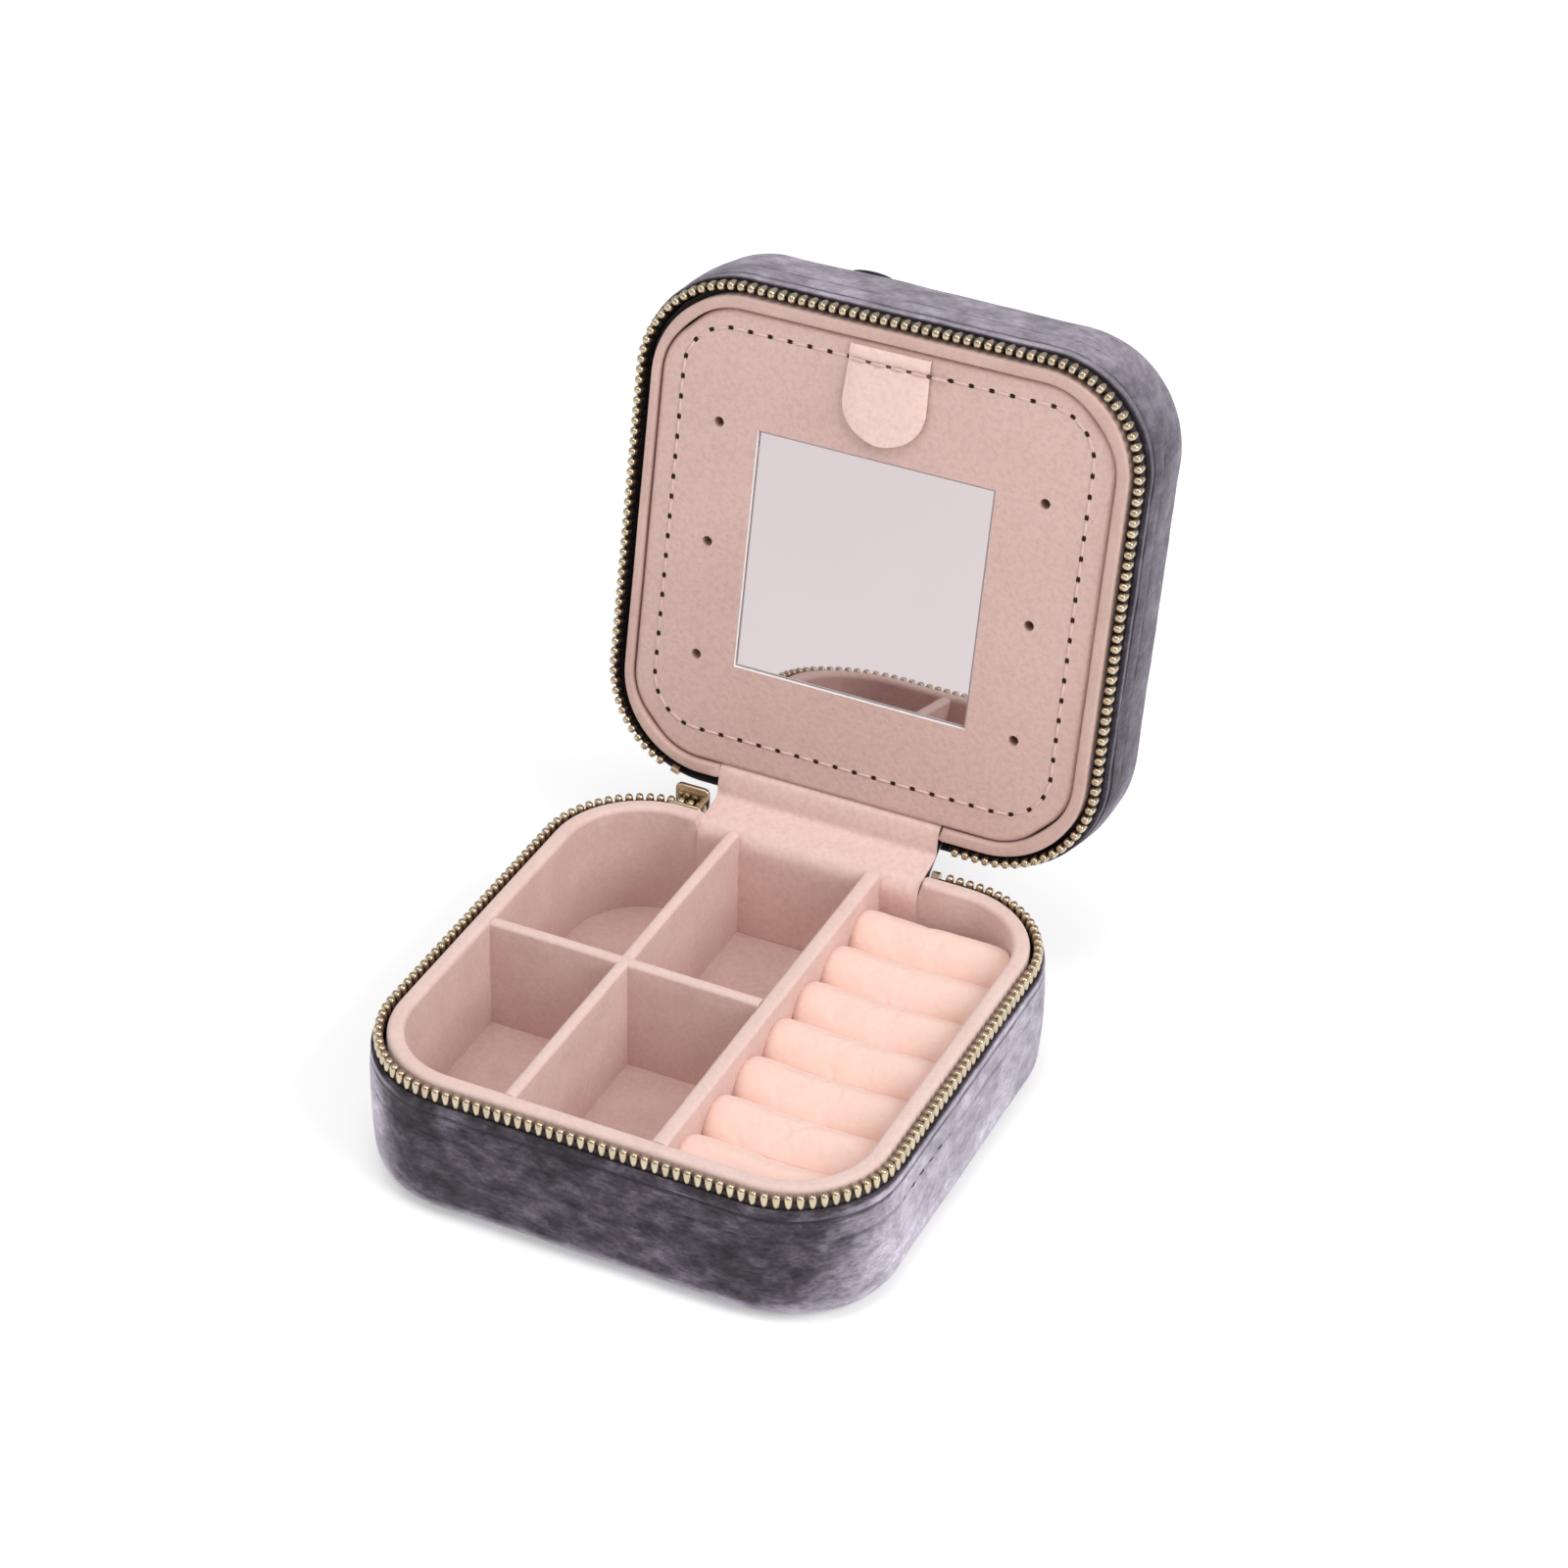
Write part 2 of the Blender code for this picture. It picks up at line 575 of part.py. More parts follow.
def main():
    clear_scene()
    lid = pivot("lid_pivot", (0.0, HINGE_Y, PARTING), turn_x=-OPEN_DEG)
    panel = pivot("panel_pivot", (0.0, PANEL_PIVOT[0], PARTING + PANEL_PIVOT[1]), lid)
    tab = pivot("tab_pivot", (TAB_X, TAB_FOLD_Y, PARTING + sum(TAB_LEVELS) / 2.0), panel)
    slider = pivot("slider_pivot", (-CORNER_AT, CORNER_AT, PARTING))
    pull = pivot("pull_pivot", (-CORNER_AT, *BAIL_AT), slider)
    build_base()
    build_lid(lid)
    build_hinge(lid)
    build_panel(panel)
    build_tab(panel, tab)
    build_slider(slider)
    build_pull(pull)


main()
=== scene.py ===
"""Looks of the travel jewelry case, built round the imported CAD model.

Pieces are drawn in millimetres of the shut case (x, y, height) and then placed; what belongs to the lid is
turned open about the lid's hinge.  A level is the distance from the parting plane, into the base or the lid.
"""
import json
import math

import bmesh
import bpy
from mathutils import Matrix, Vector, noise

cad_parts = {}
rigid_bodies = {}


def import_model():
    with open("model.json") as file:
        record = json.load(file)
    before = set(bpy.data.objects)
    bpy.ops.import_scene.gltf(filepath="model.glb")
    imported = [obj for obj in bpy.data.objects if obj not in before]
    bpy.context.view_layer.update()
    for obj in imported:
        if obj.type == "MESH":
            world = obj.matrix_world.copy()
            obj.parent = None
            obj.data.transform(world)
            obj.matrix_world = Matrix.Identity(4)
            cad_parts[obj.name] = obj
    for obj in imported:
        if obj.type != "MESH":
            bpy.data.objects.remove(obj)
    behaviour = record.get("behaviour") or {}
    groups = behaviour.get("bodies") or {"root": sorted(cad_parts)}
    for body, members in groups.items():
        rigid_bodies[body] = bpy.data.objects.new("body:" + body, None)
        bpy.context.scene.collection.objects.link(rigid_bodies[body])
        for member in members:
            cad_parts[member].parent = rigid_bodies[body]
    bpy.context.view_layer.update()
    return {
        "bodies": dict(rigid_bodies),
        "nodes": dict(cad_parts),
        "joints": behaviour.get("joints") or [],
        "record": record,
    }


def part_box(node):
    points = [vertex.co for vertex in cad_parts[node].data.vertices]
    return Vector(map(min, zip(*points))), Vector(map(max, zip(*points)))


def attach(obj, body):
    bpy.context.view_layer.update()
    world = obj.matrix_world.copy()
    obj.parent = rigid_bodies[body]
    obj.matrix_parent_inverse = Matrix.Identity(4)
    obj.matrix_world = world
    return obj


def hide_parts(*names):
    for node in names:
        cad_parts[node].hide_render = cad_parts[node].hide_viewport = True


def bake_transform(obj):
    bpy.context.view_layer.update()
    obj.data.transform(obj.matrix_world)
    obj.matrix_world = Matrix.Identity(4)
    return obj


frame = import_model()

MM = 0.001
JOINTS = {joint["name"]: joint for joint in frame["joints"]}

# ------------------------ sizes, from the frame where it has them
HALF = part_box("base_cover")[1].x / MM
HINGE = Vector(JOINTS["lid_hinge"]["pos_m"]) / MM
PARTING = HINGE.z
OPEN = math.radians(-JOINTS["lid_hinge"]["range_deg"][0])
CORNER = 21.0
LID_DEPTH = 24.0
FILLET = 5.4
LINING_OFFSET = {"base": 6.0, "lid": 5.4}
BAY_OFFSET = 6.3
HINGE_LEFT, HINGE_RIGHT = (end.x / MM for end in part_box("hinge_lining_base"))
BASE_SIDE = -1
LID_SIDE = 1
HALVES = (("base", PARTING, BASE_SIDE), ("lid", LID_DEPTH, LID_SIDE))

# ------------------------ placing
SHUT = Matrix.Scale(MM, 4)
OPENED = SHUT @ Matrix.Translation(HINGE) @ Matrix.Rotation(-OPEN, 4, 'X') @ Matrix.Translation(-HINGE)
BODY_MATRIX = {"base": SHUT, "zip_slider": SHUT, "zip_pull": SHUT, "lid": OPENED, "panel": OPENED}


def world(point, body):
    return BODY_MATRIX[body] @ Vector(point)


def add_object(name, data):
    obj = bpy.data.objects.new(name, data)
    bpy.context.scene.collection.objects.link(obj)
    return obj


def mesh_from(bm, name):
    """A mesh taken from bm, which is freed."""
    mesh = bpy.data.meshes.new(name)
    bm.to_mesh(mesh)
    bm.free()
    return mesh


def make_object(name, bm, body, material, smooth_deg=40.0, extra_materials=()):
    """A mesh drawn in millimetres of the shut case becomes a placed object."""
    bmesh.ops.recalc_face_normals(bm, faces=bm.faces)
    bm.transform(BODY_MATRIX[body])
    mesh = mesh_from(bm, name)
    for mat in (material, *extra_materials):
        mesh.materials.append(mat)
    mesh.shade_smooth()
    mesh.set_sharp_from_angle(angle=math.radians(smooth_deg))
    return add_object(name, mesh)


def stand_for(obj, body, slot, *nodes):
    """Ride on a body and stand for CAD nodes; the slot is not used."""
    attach(obj, body)
    if nodes:
        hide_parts(*nodes)
    return obj


def add_piece(name, bm, body, slot, material, smooth_deg, *nodes):
    return stand_for(make_object(name, bm, body, material, smooth_deg), body, slot, *nodes)


def box_mm(node):
    """The lowest and highest corner of a CAD node in millimetres."""
    return [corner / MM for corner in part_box(node)]


# ------------------------ the rim as a path
class Rim:
    """The outline of the case, a distance inside its outer face, as a path measured by length.

    It starts in the middle of the rear and runs to the left, so +X comes last.
    """

    def __init__(self, offset=0.0, half=HALF, corner=CORNER):
        self.half = half - offset
        self.radius = corner - offset
        self.side = 2.0 * (half - corner)
        self.step = self.side + self.radius * math.pi / 2.0
        self.length = 4.0 * self.step

    def at(self, run):
        """Point and outward normal at a run along the path."""
        side, rest = divmod((run + self.side / 2.0) % self.length, self.step)
        if rest <= self.side:
            point, normal = (self.side / 2.0 - rest, self.half), (0.0, 1.0)
        else:
            angle = (rest - self.side) / self.radius
            normal = (-math.sin(angle), math.cos(angle))
            centre = self.side / 2.0
            point = (self.radius * normal[0] - centre, self.radius * normal[1] + centre)
        for _ in range(int(side)):
            point = (-point[1], point[0])
            normal = (-normal[1], normal[0])
        return Vector(point), Vector(normal)

    def stations(self, start, end, spacing):
        count = max(2, int(round((end - start) / spacing)))
        return [start + (end - start) * i / count for i in range(count + 1)]


OUTER = Rim()


def outer_loop(spacing):
    """Frames evenly all round the outer face."""
    count = int(round(OUTER.length / spacing))
    return [OUTER.at(OUTER.length * i / count) for i in range(count)]


def flat_rows(loop, level, shares, crown, lump):
    """Rows that fill a flat face: a loop drawn in towards its centre by shares, highest in the middle."""
    rows = []
    for share in shares:
        height = level + crown * (1.0 - share ** 2)
        rows.append([(p.x * share, p.y * share, height + lump * lumps(p.x * share, p.y * share, level, 14.0))
                     for p in loop])
    return rows


def arc(centre, radii, start_deg, end_deg, steps):
    points = []
    for i in range(steps + 1):
        angle = math.radians(start_deg + (end_deg - start_deg) * i / steps)
        points.append((centre[0] + radii[0] * math.cos(angle), centre[1] + radii[1] * math.sin(angle)))
    return points


def turns(count, shift=0.0):
    """Angles of even steps round a circle."""
    return [2.0 * math.pi * (k + shift) / count for k in range(count)]


def quarter(vector):
    """A flat vector turned a quarter to the left."""
    return Vector((-vector.y, vector.x))


def centre_of(points):
    return Vector([sum(p[i] for p in points) / len(points) for i in (0, 1)])


def drawn_in(point, centre, inset):
    """A flat point moved towards a centre by a distance."""
    away = Vector(point) - centre
    return centre + away * ((away.length - inset) / away.length)


def bell(distance, width):
    """1 at no distance, and next to nothing beyond twice the width."""
    return math.exp(-(distance / width) ** 2)


def line(start, end, steps):
    """Points from start up to, but not at, end."""
    return [tuple(a + (b - a) * i / steps for a, b in zip(start, end)) for i in range(steps)]


def grid(rows, close_rows=False, close_columns=False, cap_rows=False, cap_columns=False):
    """A mesh from rows of points."""
    bm = bmesh.new()
    verts = [[bm.verts.new(point) for point in row] for row in rows]
    count, width = len(rows), len(rows[0])
    for i in range(count if close_rows else count - 1):
        low, high = verts[i], verts[(i + 1) % count]
        for j in range(width if close_columns else width - 1):
            k = (j + 1) % width
            bm.faces.new((low[j], low[k], high[k], high[j]))
    if cap_rows:
        bm.faces.new(verts[0])
        bm.faces.new(verts[-1])
    if cap_columns:
        bm.faces.new([row[0] for row in verts])
        bm.faces.new([row[-1] for row in verts])
    return bm


def join_rings(bm, rings, closed=False):
    """Faces from each ring of vertices to the next; the ends are capped, or joined when closed."""
    for low, high in zip(rings, rings[1:] + rings[:1] if closed else rings[1:]):
        for k in range(len(low)):
            m = (k + 1) % len(low)
            bm.faces.new((low[k], low[m], high[m], high[k]))
    if not closed:
        bm.faces.new(rings[0])
        bm.faces.new(rings[-1])


def carried(frames, profile, side, shape=None):
    """Rows of points: a profile of (offset, level) carried along frames; shape may add to the offset."""
    rows = []
    for offset, level in profile:
        row = []
        for point, normal in frames:
            inset = offset + (shape(point, normal, offset, level) if shape else 0.0)
            spot = point - normal * inset
            row.append((spot.x, spot.y, PARTING + side * level))
        rows.append(row)
    return rows


def lumps(x, y, z, size, seed=0.0):
    """Smooth noise from -1 to 1 with features about size millimetres across."""
    return noise.noise(Vector((x / size + seed, y / size - seed, z / size + 0.5 * seed)))


# ------------------------ materials
def new_material(name, colour, roughness, metallic=0.0):
    mat = bpy.data.materials.new(name)
    mat.use_nodes = True
    shader = mat.node_tree.nodes["Principled BSDF"]
    shader.inputs["Base Color"].default_value = (*colour, 1.0)
    shader.inputs["Roughness"].default_value = roughness
    shader.inputs["Metallic"].default_value = metallic
    return mat, mat.node_tree, shader


def add_node(tree, kind, **values):
    """A shader node of a kind, with constants in its named sockets."""
    node = tree.nodes.new("ShaderNode" + kind)
    for socket, value in values.items():
        node.inputs[socket].default_value = value
    return node


def add_noise(tree, scale, detail=3.0, roughness=0.5, distortion=0.0, stretch=(1.0, 1.0, 1.0)):
    """A noise texture on the object's own coordinates; scale counts features to a metre."""
    mapping = add_node(tree, "Mapping", Scale=stretch)
    texture = add_node(tree, "TexNoise", Scale=scale, Detail=detail, Roughness=roughness,
                       Distortion=distortion)
    tree.links.new(add_node(tree, "TexCoord").outputs["Object"], mapping.inputs["Vector"])
    tree.links.new(mapping.outputs["Vector"], texture.inputs["Vector"])
    return texture.outputs["Fac"]


def ramp(tree, source, stops):
    """A colour ramp of (position, colour) stops."""
    node = add_node(tree, "ValToRGB")
    elements = node.color_ramp.elements
    while len(elements) < len(stops):
        elements.new(0.5)
    for element, (position, colour) in zip(elements, stops):
        element.position = position
        element.color = (*colour, 1.0)
    tree.links.new(source, node.inputs["Fac"])
    return node.outputs["Color"]


def grey_ramp(tree, source, positions, levels):
    return ramp(tree, source, [(position, (level,) * 3) for position, level in zip(positions, levels)])


def fill_socket(tree, socket, value):
    """Link another socket into this one, or set its value; a tuple of three is a colour or a vector."""
    if isinstance(value, bpy.types.NodeSocket):
        tree.links.new(value, socket)
    elif isinstance(value, tuple) and socket.type == 'RGBA':
        socket.default_value = (*value, 1.0)
    elif value is not None:
        socket.default_value = value


def mix(tree, factor, first, second, mode='MIX'):
    node = add_node(tree, "Mix")
    node.data_type = 'RGBA'
    node.blend_type = mode
    for number, value in ((0, factor), (6, first), (7, second)):
        fill_socket(tree, node.inputs[number], value)
    return node.outputs[2]


def multiply(tree, first, second):
    return mix(tree, 1.0, first, second, 'MULTIPLY')


def finish_surface(tree, shader, colour, *heights):
    """Link the colour, and stack bumps of (height socket, depth in millimetres, strength)."""
    tree.links.new(colour, shader.inputs["Base Color"])
    normal = None
    for height, depth, strength in heights:
        node = add_node(tree, "Bump", Distance=depth * MM, Strength=strength)
        tree.links.new(height, node.inputs["Height"])
        if normal:
            tree.links.new(normal, node.inputs["Normal"])
        normal = node.outputs["Normal"]
    if normal:
        tree.links.new(normal, shader.inputs["Normal"])


def set_sheen(shader, weight, roughness, tint):
    shader.inputs["Sheen Weight"].default_value = weight
    shader.inputs["Sheen Roughness"].default_value = roughness
    shader.inputs["Sheen Tint"].default_value = (*tint, 1.0)


def nap_normal(tree, lean):
    """The surface normal leaned over the way the pile lies along the surface, in the piece's own space.

    A face that looks along the lean or against it isn't changed, nor one that nearly looks against it.
    """
    normal = add_node(tree, "TexCoord").outputs["Normal"]
    rise = vector_math(tree, 'DOT_PRODUCT', normal, lean)
    along = vector_math(tree, 'SUBTRACT', lean, vector_math(tree, 'SCALE', normal, rise))
    share = add_node(tree, "Math")
    share.operation = 'MULTIPLY_ADD'
    share.use_clamp = True
    for socket, value in zip(share.inputs, (rise, 1.0 / Vector(lean).length, 1.0)):
        fill_socket(tree, socket, value)
    along = vector_math(tree, 'SCALE', along, share.outputs[0])
    leaned = vector_math(tree, 'NORMALIZE', vector_math(tree, 'ADD', normal, along))
    turn = add_node(tree, "VectorTransform")
    turn.vector_type = 'NORMAL'
    turn.convert_from = 'OBJECT'
    turn.convert_to = 'WORLD'
    tree.links.new(leaned, turn.inputs[0])
    return turn.outputs[0]


def vector_math(tree, operation, first, second=None):
    """A vector sum of sockets or constants; SCALE takes its factor second."""
    node = add_node(tree, "VectorMath")
    node.operation = operation
    fill_socket(tree, node.inputs[0], first)
    fill_socket(tree, node.inputs["Scale" if operation == 'SCALE' else 1], second)
    return node.outputs["Value" if operation == 'DOT_PRODUCT' else "Vector"]


def velvet_material(name, lean, slants, contrast, depth, sheen):
    """Velvet: dark pile with soft crushed patches and a fine fuzz, and a painted sheen that is paler when
    seen along it.

    It turns from dark to the painted sheen colour between the two slants, 0 straight on and 1 edge on.  Depth
    scales the dark colour.  A float attribute on a mesh mixes in painted shade, near black, where it is high.
    """
    mat, tree, shader = new_material(name, (0.12, 0.105, 0.14), 0.85)
    patch = add_noise(tree, 75.0, 2.0, 0.5, 0.3, (0.7, 0.7, 1.2))
    crush = add_noise(tree, 240.0, 4.0, 0.6, 0.2, (0.85, 0.85, 1.2))
    fuzz = add_noise(tree, 950.0, 3.0, 0.65, 0.0, (0.7, 0.7, 1.7))
    stops = ((0.34, (0.036, 0.029, 0.038)), (0.52, (0.076, 0.062, 0.080)), (0.68, (0.135, 0.115, 0.148)))
    deep = ramp(tree, crush, [(place, [depth * part for part in tint]) for place, tint in stops])
    # painted sheen: a pale colour that stands for the pile's sheen, mixed in where the pile is seen along it
    painted_sheen = ramp(tree, crush, ((0.32, (0.32, 0.285, 0.345)), (0.50, (0.43, 0.39, 0.46)),
                               (0.66, (0.54, 0.495, 0.575))))
    layer = add_node(tree, "LayerWeight", Blend=0.5)
    tree.links.new(nap_normal(tree, lean), layer.inputs["Normal"])
    facing = layer.outputs["Facing"]
    colour = mix(tree, grey_ramp(tree, facing, slants, (0.0, 1.0)), deep, painted_sheen)
    tone = grey_ramp(tree, patch, (0.36, 0.66), (1.0 - 0.38 * contrast, 1.0 + 0.32 * contrast))
    hairs = grey_ramp(tree, fuzz, (0.30, 0.70), (1.0 - 0.42 * contrast, 1.0 + 0.42 * contrast))
    calm = grey_ramp(tree, facing, slants, (0.0, 0.4))
    colour = multiply(tree, colour, mix(tree, calm, multiply(tree, tone, hairs), (1.0, 1.0, 1.0)))
    # painted shade: the mesh's attribute mixes in near black at the crease, the seam, the tucked edge and
    # shaded sides
    painted_shade = add_node(tree, "Attribute")
    painted_shade.attribute_name = "painted_shade"
    colour = mix(tree, painted_shade.outputs["Fac"], colour, (0.016, 0.013, 0.018))
    set_sheen(shader, sheen, 0.4, (0.84, 0.79, 0.92))
    shader.inputs["Specular IOR Level"].default_value = 0.12
    finish_surface(tree, shader, colour, (crush, 0.35, 0.35), (fuzz, 0.14, 0.5))
    return mat


def suede_material(name, light, shade, coarse=0.07):
    """Short-pile suede cloth: a soft mottle with a grain of pile, darkened by up to the share coarse."""
    mat, tree, shader = new_material(name, light, 0.95)
    mottle = add_noise(tree, 120.0, 3.0, 0.55, 0.4)
    grain = add_noise(tree, 1000.0, 3.0, 0.6, 0.2)
    pile = add_noise(tree, 3200.0, 2.0, 0.6)
    tone = ramp(tree, mottle, ((0.35, shade), (0.65, light)))
    fleck = grey_ramp(tree, grain, (0.32, 0.62), (1.0 - coarse, 1.0 + 0.5 * coarse))
    set_sheen(shader, 0.3, 0.5, (1.0, 0.93, 0.91))
    shader.inputs["Specular IOR Level"].default_value = 0.2
    finish_surface(tree, shader, multiply(tree, tone, fleck), (grain, 2.0 * coarse, 0.4), (pile, 0.06, 0.5))
    return mat


def leatherette_material(name, light, shade, roughness, grain_depth):
    """Coated cloth with a fine pebbled grain."""
    mat, tree, shader = new_material(name, light, roughness)
    pebble = add_noise(tree, 1000.0, 3.0, 0.55, 0.3)
    pore = add_noise(tree, 2600.0, 2.0, 0.5)
    mottle = add_noise(tree, 45.0, 2.0)
    tone = ramp(tree, mottle, ((0.35, shade), (0.65, light)))
    grain = ramp(tree, pebble, ((0.34, (0.93, 0.92, 0.915)), (0.58, (1.03, 1.03, 1.03))))
    shader.inputs["Specular IOR Level"].default_value = 0.35
    finish_surface(tree, shader, multiply(tree, tone, grain),
                   (pebble, grain_depth, 0.6), (pore, grain_depth * 0.25, 0.4))
    return mat


def brass_material():
    mat, tree, shader = new_material("brass", (0.62, 0.52, 0.38), 0.25, 1.0)
    stain = add_noise(tree, 520.0, 4.0, 0.6)
    colour = ramp(tree, stain, ((0.35, (0.50, 0.41, 0.295)), (0.62, (0.62, 0.52, 0.38))))
    finish_surface(tree, shader, colour, (stain, 0.03, 0.25))
    return mat


def tape_material():
    """Black herringbone zip tape."""
    mat, tree, shader = new_material("zip_tape", (0.018, 0.015, 0.016), 0.85)
    weave = add_noise(tree, 1900.0, 2.0, 0.6, 0.0, (1.0, 1.0, 2.2))
    colour = ramp(tree, weave, ((0.3, (0.008, 0.007, 0.008)), (0.7, (0.040, 0.034, 0.036))))
    finish_surface(tree, shader, colour, (weave, 0.15, 0.8))
    return mat


def mirror_material():
    """Silvered glass whose colour is darkened and tinted pink-grey as a painted reflection of what it faces,
    with its normal leaned a touch as if it sat aslant in its window.
    """
    mat, tree, shader = new_material("mirror_glass", (0.57, 0.515, 0.525), 0.02, 1.0)
    haze = add_noise(tree, 25.0, 2.0)
    finish_surface(tree, shader, ramp(tree, haze, ((0.3, (0.56, 0.507, 0.517)), (0.7, (0.58, 0.523, 0.533)))))
    tree.links.new(nap_normal(tree, (0.0, 0.0, -0.034)), shader.inputs["Normal"])
    return mat


def plain_material(name, light, shade, roughness, scale):
    """A matt surface with a fine mottle."""
    mat, tree, shader = new_material(name, light, roughness)
    mottle = add_noise(tree, scale, 3.0)
    finish_surface(tree, shader, ramp(tree, mottle, ((0.35, shade), (0.65, light))), (mottle, 0.08, 0.4))
    return mat


VELVET = velvet_material("velvet", (0.5, 0.0, 0.0), (0.36, 0.66), 1.0, 1.0, 0.35)
# the lid's velvet: its dark colour is scaled to 0.78 as painted shade; its lean, slants, contrast and weaker
# sheen differ too
LID_VELVET = velvet_material("velvet_lid", (0.0, 0.0, 1.1), (0.28, 0.62), 0.65, 0.78, 0.12)
SUEDE = suede_material("suede_pink", (0.74, 0.545, 0.50), (0.69, 0.495, 0.45))
# a lighter copy of the pink suede: painted light on the lining's rim and the dividers' tops
LIT_TOP_SUEDE = suede_material("suede_lit_top", (0.78, 0.59, 0.54), (0.75, 0.555, 0.505), 0.05)
# a darker copy of the pink suede: painted shade on the lid's lining
SHADED_LID_SUEDE = suede_material("suede_lid_shaded", (0.60, 0.42, 0.375), (0.56, 0.385, 0.34), 0.06)
ROLL_SUEDE = suede_material("suede_peach", (0.91, 0.655, 0.575), (0.89, 0.63, 0.545), 0.03)
PANEL_SKIN = leatherette_material("panel_leatherette", (0.635, 0.447, 0.405), (0.61, 0.425, 0.383),
                                  0.55, 0.20)
STRIP_SKIN = leatherette_material("strip_leatherette", (0.79, 0.575, 0.525), (0.77, 0.555, 0.505),
                                  0.55, 0.04)
TAB_SKIN = leatherette_material("tab_leatherette", (0.80, 0.595, 0.545), (0.785, 0.58, 0.53), 0.5, 0.015)
BRASS = brass_material()
TAPE = tape_material()
MIRROR = mirror_material()
THREAD = plain_material("pink_thread", (0.71, 0.52, 0.475), (0.62, 0.435, 0.395), 0.7, 2500.0)
DARK_THREAD = plain_material("velvet_thread", (0.030, 0.026, 0.036), (0.014, 0.012, 0.018), 0.8, 2500.0)
# dark brown that stands for the shade inside needle holes: painted shade
HOLE_SHADE = plain_material("stitch_hole_shade", (0.12, 0.062, 0.058), (0.08, 0.038, 0.036), 0.9, 900.0)
EARRING_HOLE = plain_material("earring_hole", (0.62, 0.43, 0.39), (0.54, 0.36, 0.32), 0.8, 900.0)
LEDGE = plain_material("board_edge", (0.95, 0.92, 0.91), (0.90, 0.86, 0.85), 0.7, 400.0)
BOARD = plain_material("board", (0.45, 0.42, 0.40), (0.38, 0.35, 0.33), 0.8, 700.0)


# ------------------------ velvet covers
FOLD_LEVEL = 5.1             # crease under the narrow fold beside the zip
STITCH_LEVEL = 9.4
STITCH_RUN = 3.8
EDGE_LEVEL = 3.15
WALL_BULGE = 0.4
TUCK_LEVEL = 9.0             # the cover's edge is turned in below this level
SIDE_SHADE = 0.45            # how much painted shade darkens the lid's left and right sides
LID_CROWN = 0.35


def cover_profile(depth):
    """Outside of a velvet cover as (offset, level), from its rounded edge to the rolled edge at the zip."""
    low = depth - FILLET
    profile = arc((FILLET, low), (FILLET, FILLET), 90.0, 180.0, 12)
    profile += line((0.0, low), (0.0, STITCH_LEVEL + 0.8), 9)[1:]
    profile += [(0.0, STITCH_LEVEL + offset) for offset in (0.8, 0.4, 0.15, -0.15, -0.4, -0.8)]
    profile += [(0.0, 7.8), (0.0, 7.0), (0.0, 6.3), (0.02, 5.9)]
    profile += [(0.10 * bell(step, 0.42), FOLD_LEVEL + step)
                for step in (0.7, 0.48, 0.28, 0.1, -0.1, -0.28, -0.48, -0.7)]
    profile += [(0.0, 4.3)] + arc((0.55, EDGE_LEVEL + 0.5), (0.55, 0.5), 180.0, 360.0, 8)
    profile += [(1.1, 5.2), (1.1, 7.5)]
    return profile


def build_cover(body, depth, side, crown):
    """The velvet of one half: bulging walls, soft ripples, a fold at the zip and a dented seam."""
    top = depth - FILLET

    def shape(point, normal, offset, level):
        height = PARTING + side * level
        if offset > 0.9 and level < TUCK_LEVEL:
            return 0.0
        ripple = 0.30 * lumps(point.x, point.y, height, 19.0, side * 3.1)
        ripple += 0.10 * lumps(point.x, point.y, height, 6.0, side * 7.7)
        if level < FOLD_LEVEL + 0.7:
            pucker = 1.6 * offset * lumps(point.x, point.y, height, 5.0) if level > 4.4 else 0.0
            return 0.35 * ripple + pucker
        wall = min(1.0, (level - FOLD_LEVEL) / (top - FOLD_LEVEL))
        dent = bell(level - STITCH_LEVEL, 0.45) * (0.05 + 0.16 * lumps(point.x, point.y, height, 3.1))
        return ripple + dent - WALL_BULGE * math.sin(math.pi * wall)

    def darkness(point, normal, offset, level):
        # How much painted shade darkens the crease, the seam, the tucked edge, the base's lower rounding and
        # the lid's sides.
        wave = 0.25 * lumps(point.x, point.y, 0.0, 9.0, side)
        crease = bell(level - FOLD_LEVEL - wave, 0.4) * (0.75 + 0.5 * lumps(point.x, point.y, 0.0, 5.0))
        # painted shade in the crease under the fold and in the dented seam
        seam = bell(level - STITCH_LEVEL, 0.3) * (0.35 + 0.5 * lumps(point.x, point.y, 0.0, 4.0))
        tuck = 1.0 if offset > 0.7 and level < TUCK_LEVEL else 0.0
        # painted shade: the turned-in edge behind the tape is painted near black
        if side < 0:
            # painted shade: the base darker towards its lower rounding, the lid's left and right sides darker
            # as they face sideways
            shade = 0.6 * max(0.0, (level - top) / FILLET)
        else:
            shade = SIDE_SHADE * abs(normal.x) * min(1.0, (depth - level) / 1.5)
        return min(0.9, max(crease, seam, tuck, shade, 0.0))

    loop = outer_loop(1.3)
    profile = cover_profile(depth)
    edge = [point - normal * FILLET for point, normal in loop]
    face = flat_rows(edge, PARTING + side * depth, (0.06, 0.2, 0.4, 0.6, 0.75, 0.88, 0.96), side * crown,
                     0.12 if crown else 0.0)
    bm = grid(face + carried(loop, profile, side, shape), close_columns=True)
    bm.verts.ensure_lookup_table()
    bm.faces.new(bm.verts[:len(loop)])
    material = VELVET if side < 0 else LID_VELVET
    velvet = add_piece(body + "_velvet", bm, body, "velvet", material, 60.0, body + "_cover")
    # each point's painted shade, kept as a mesh attribute for the velvet's colour
    values = [0.0] * (len(face) * len(loop))
    values += [darkness(*frame, *place) for place in profile for frame in loop]
    velvet.data.attributes.new("painted_shade", 'FLOAT', 'POINT').data.foreach_set("value", values)


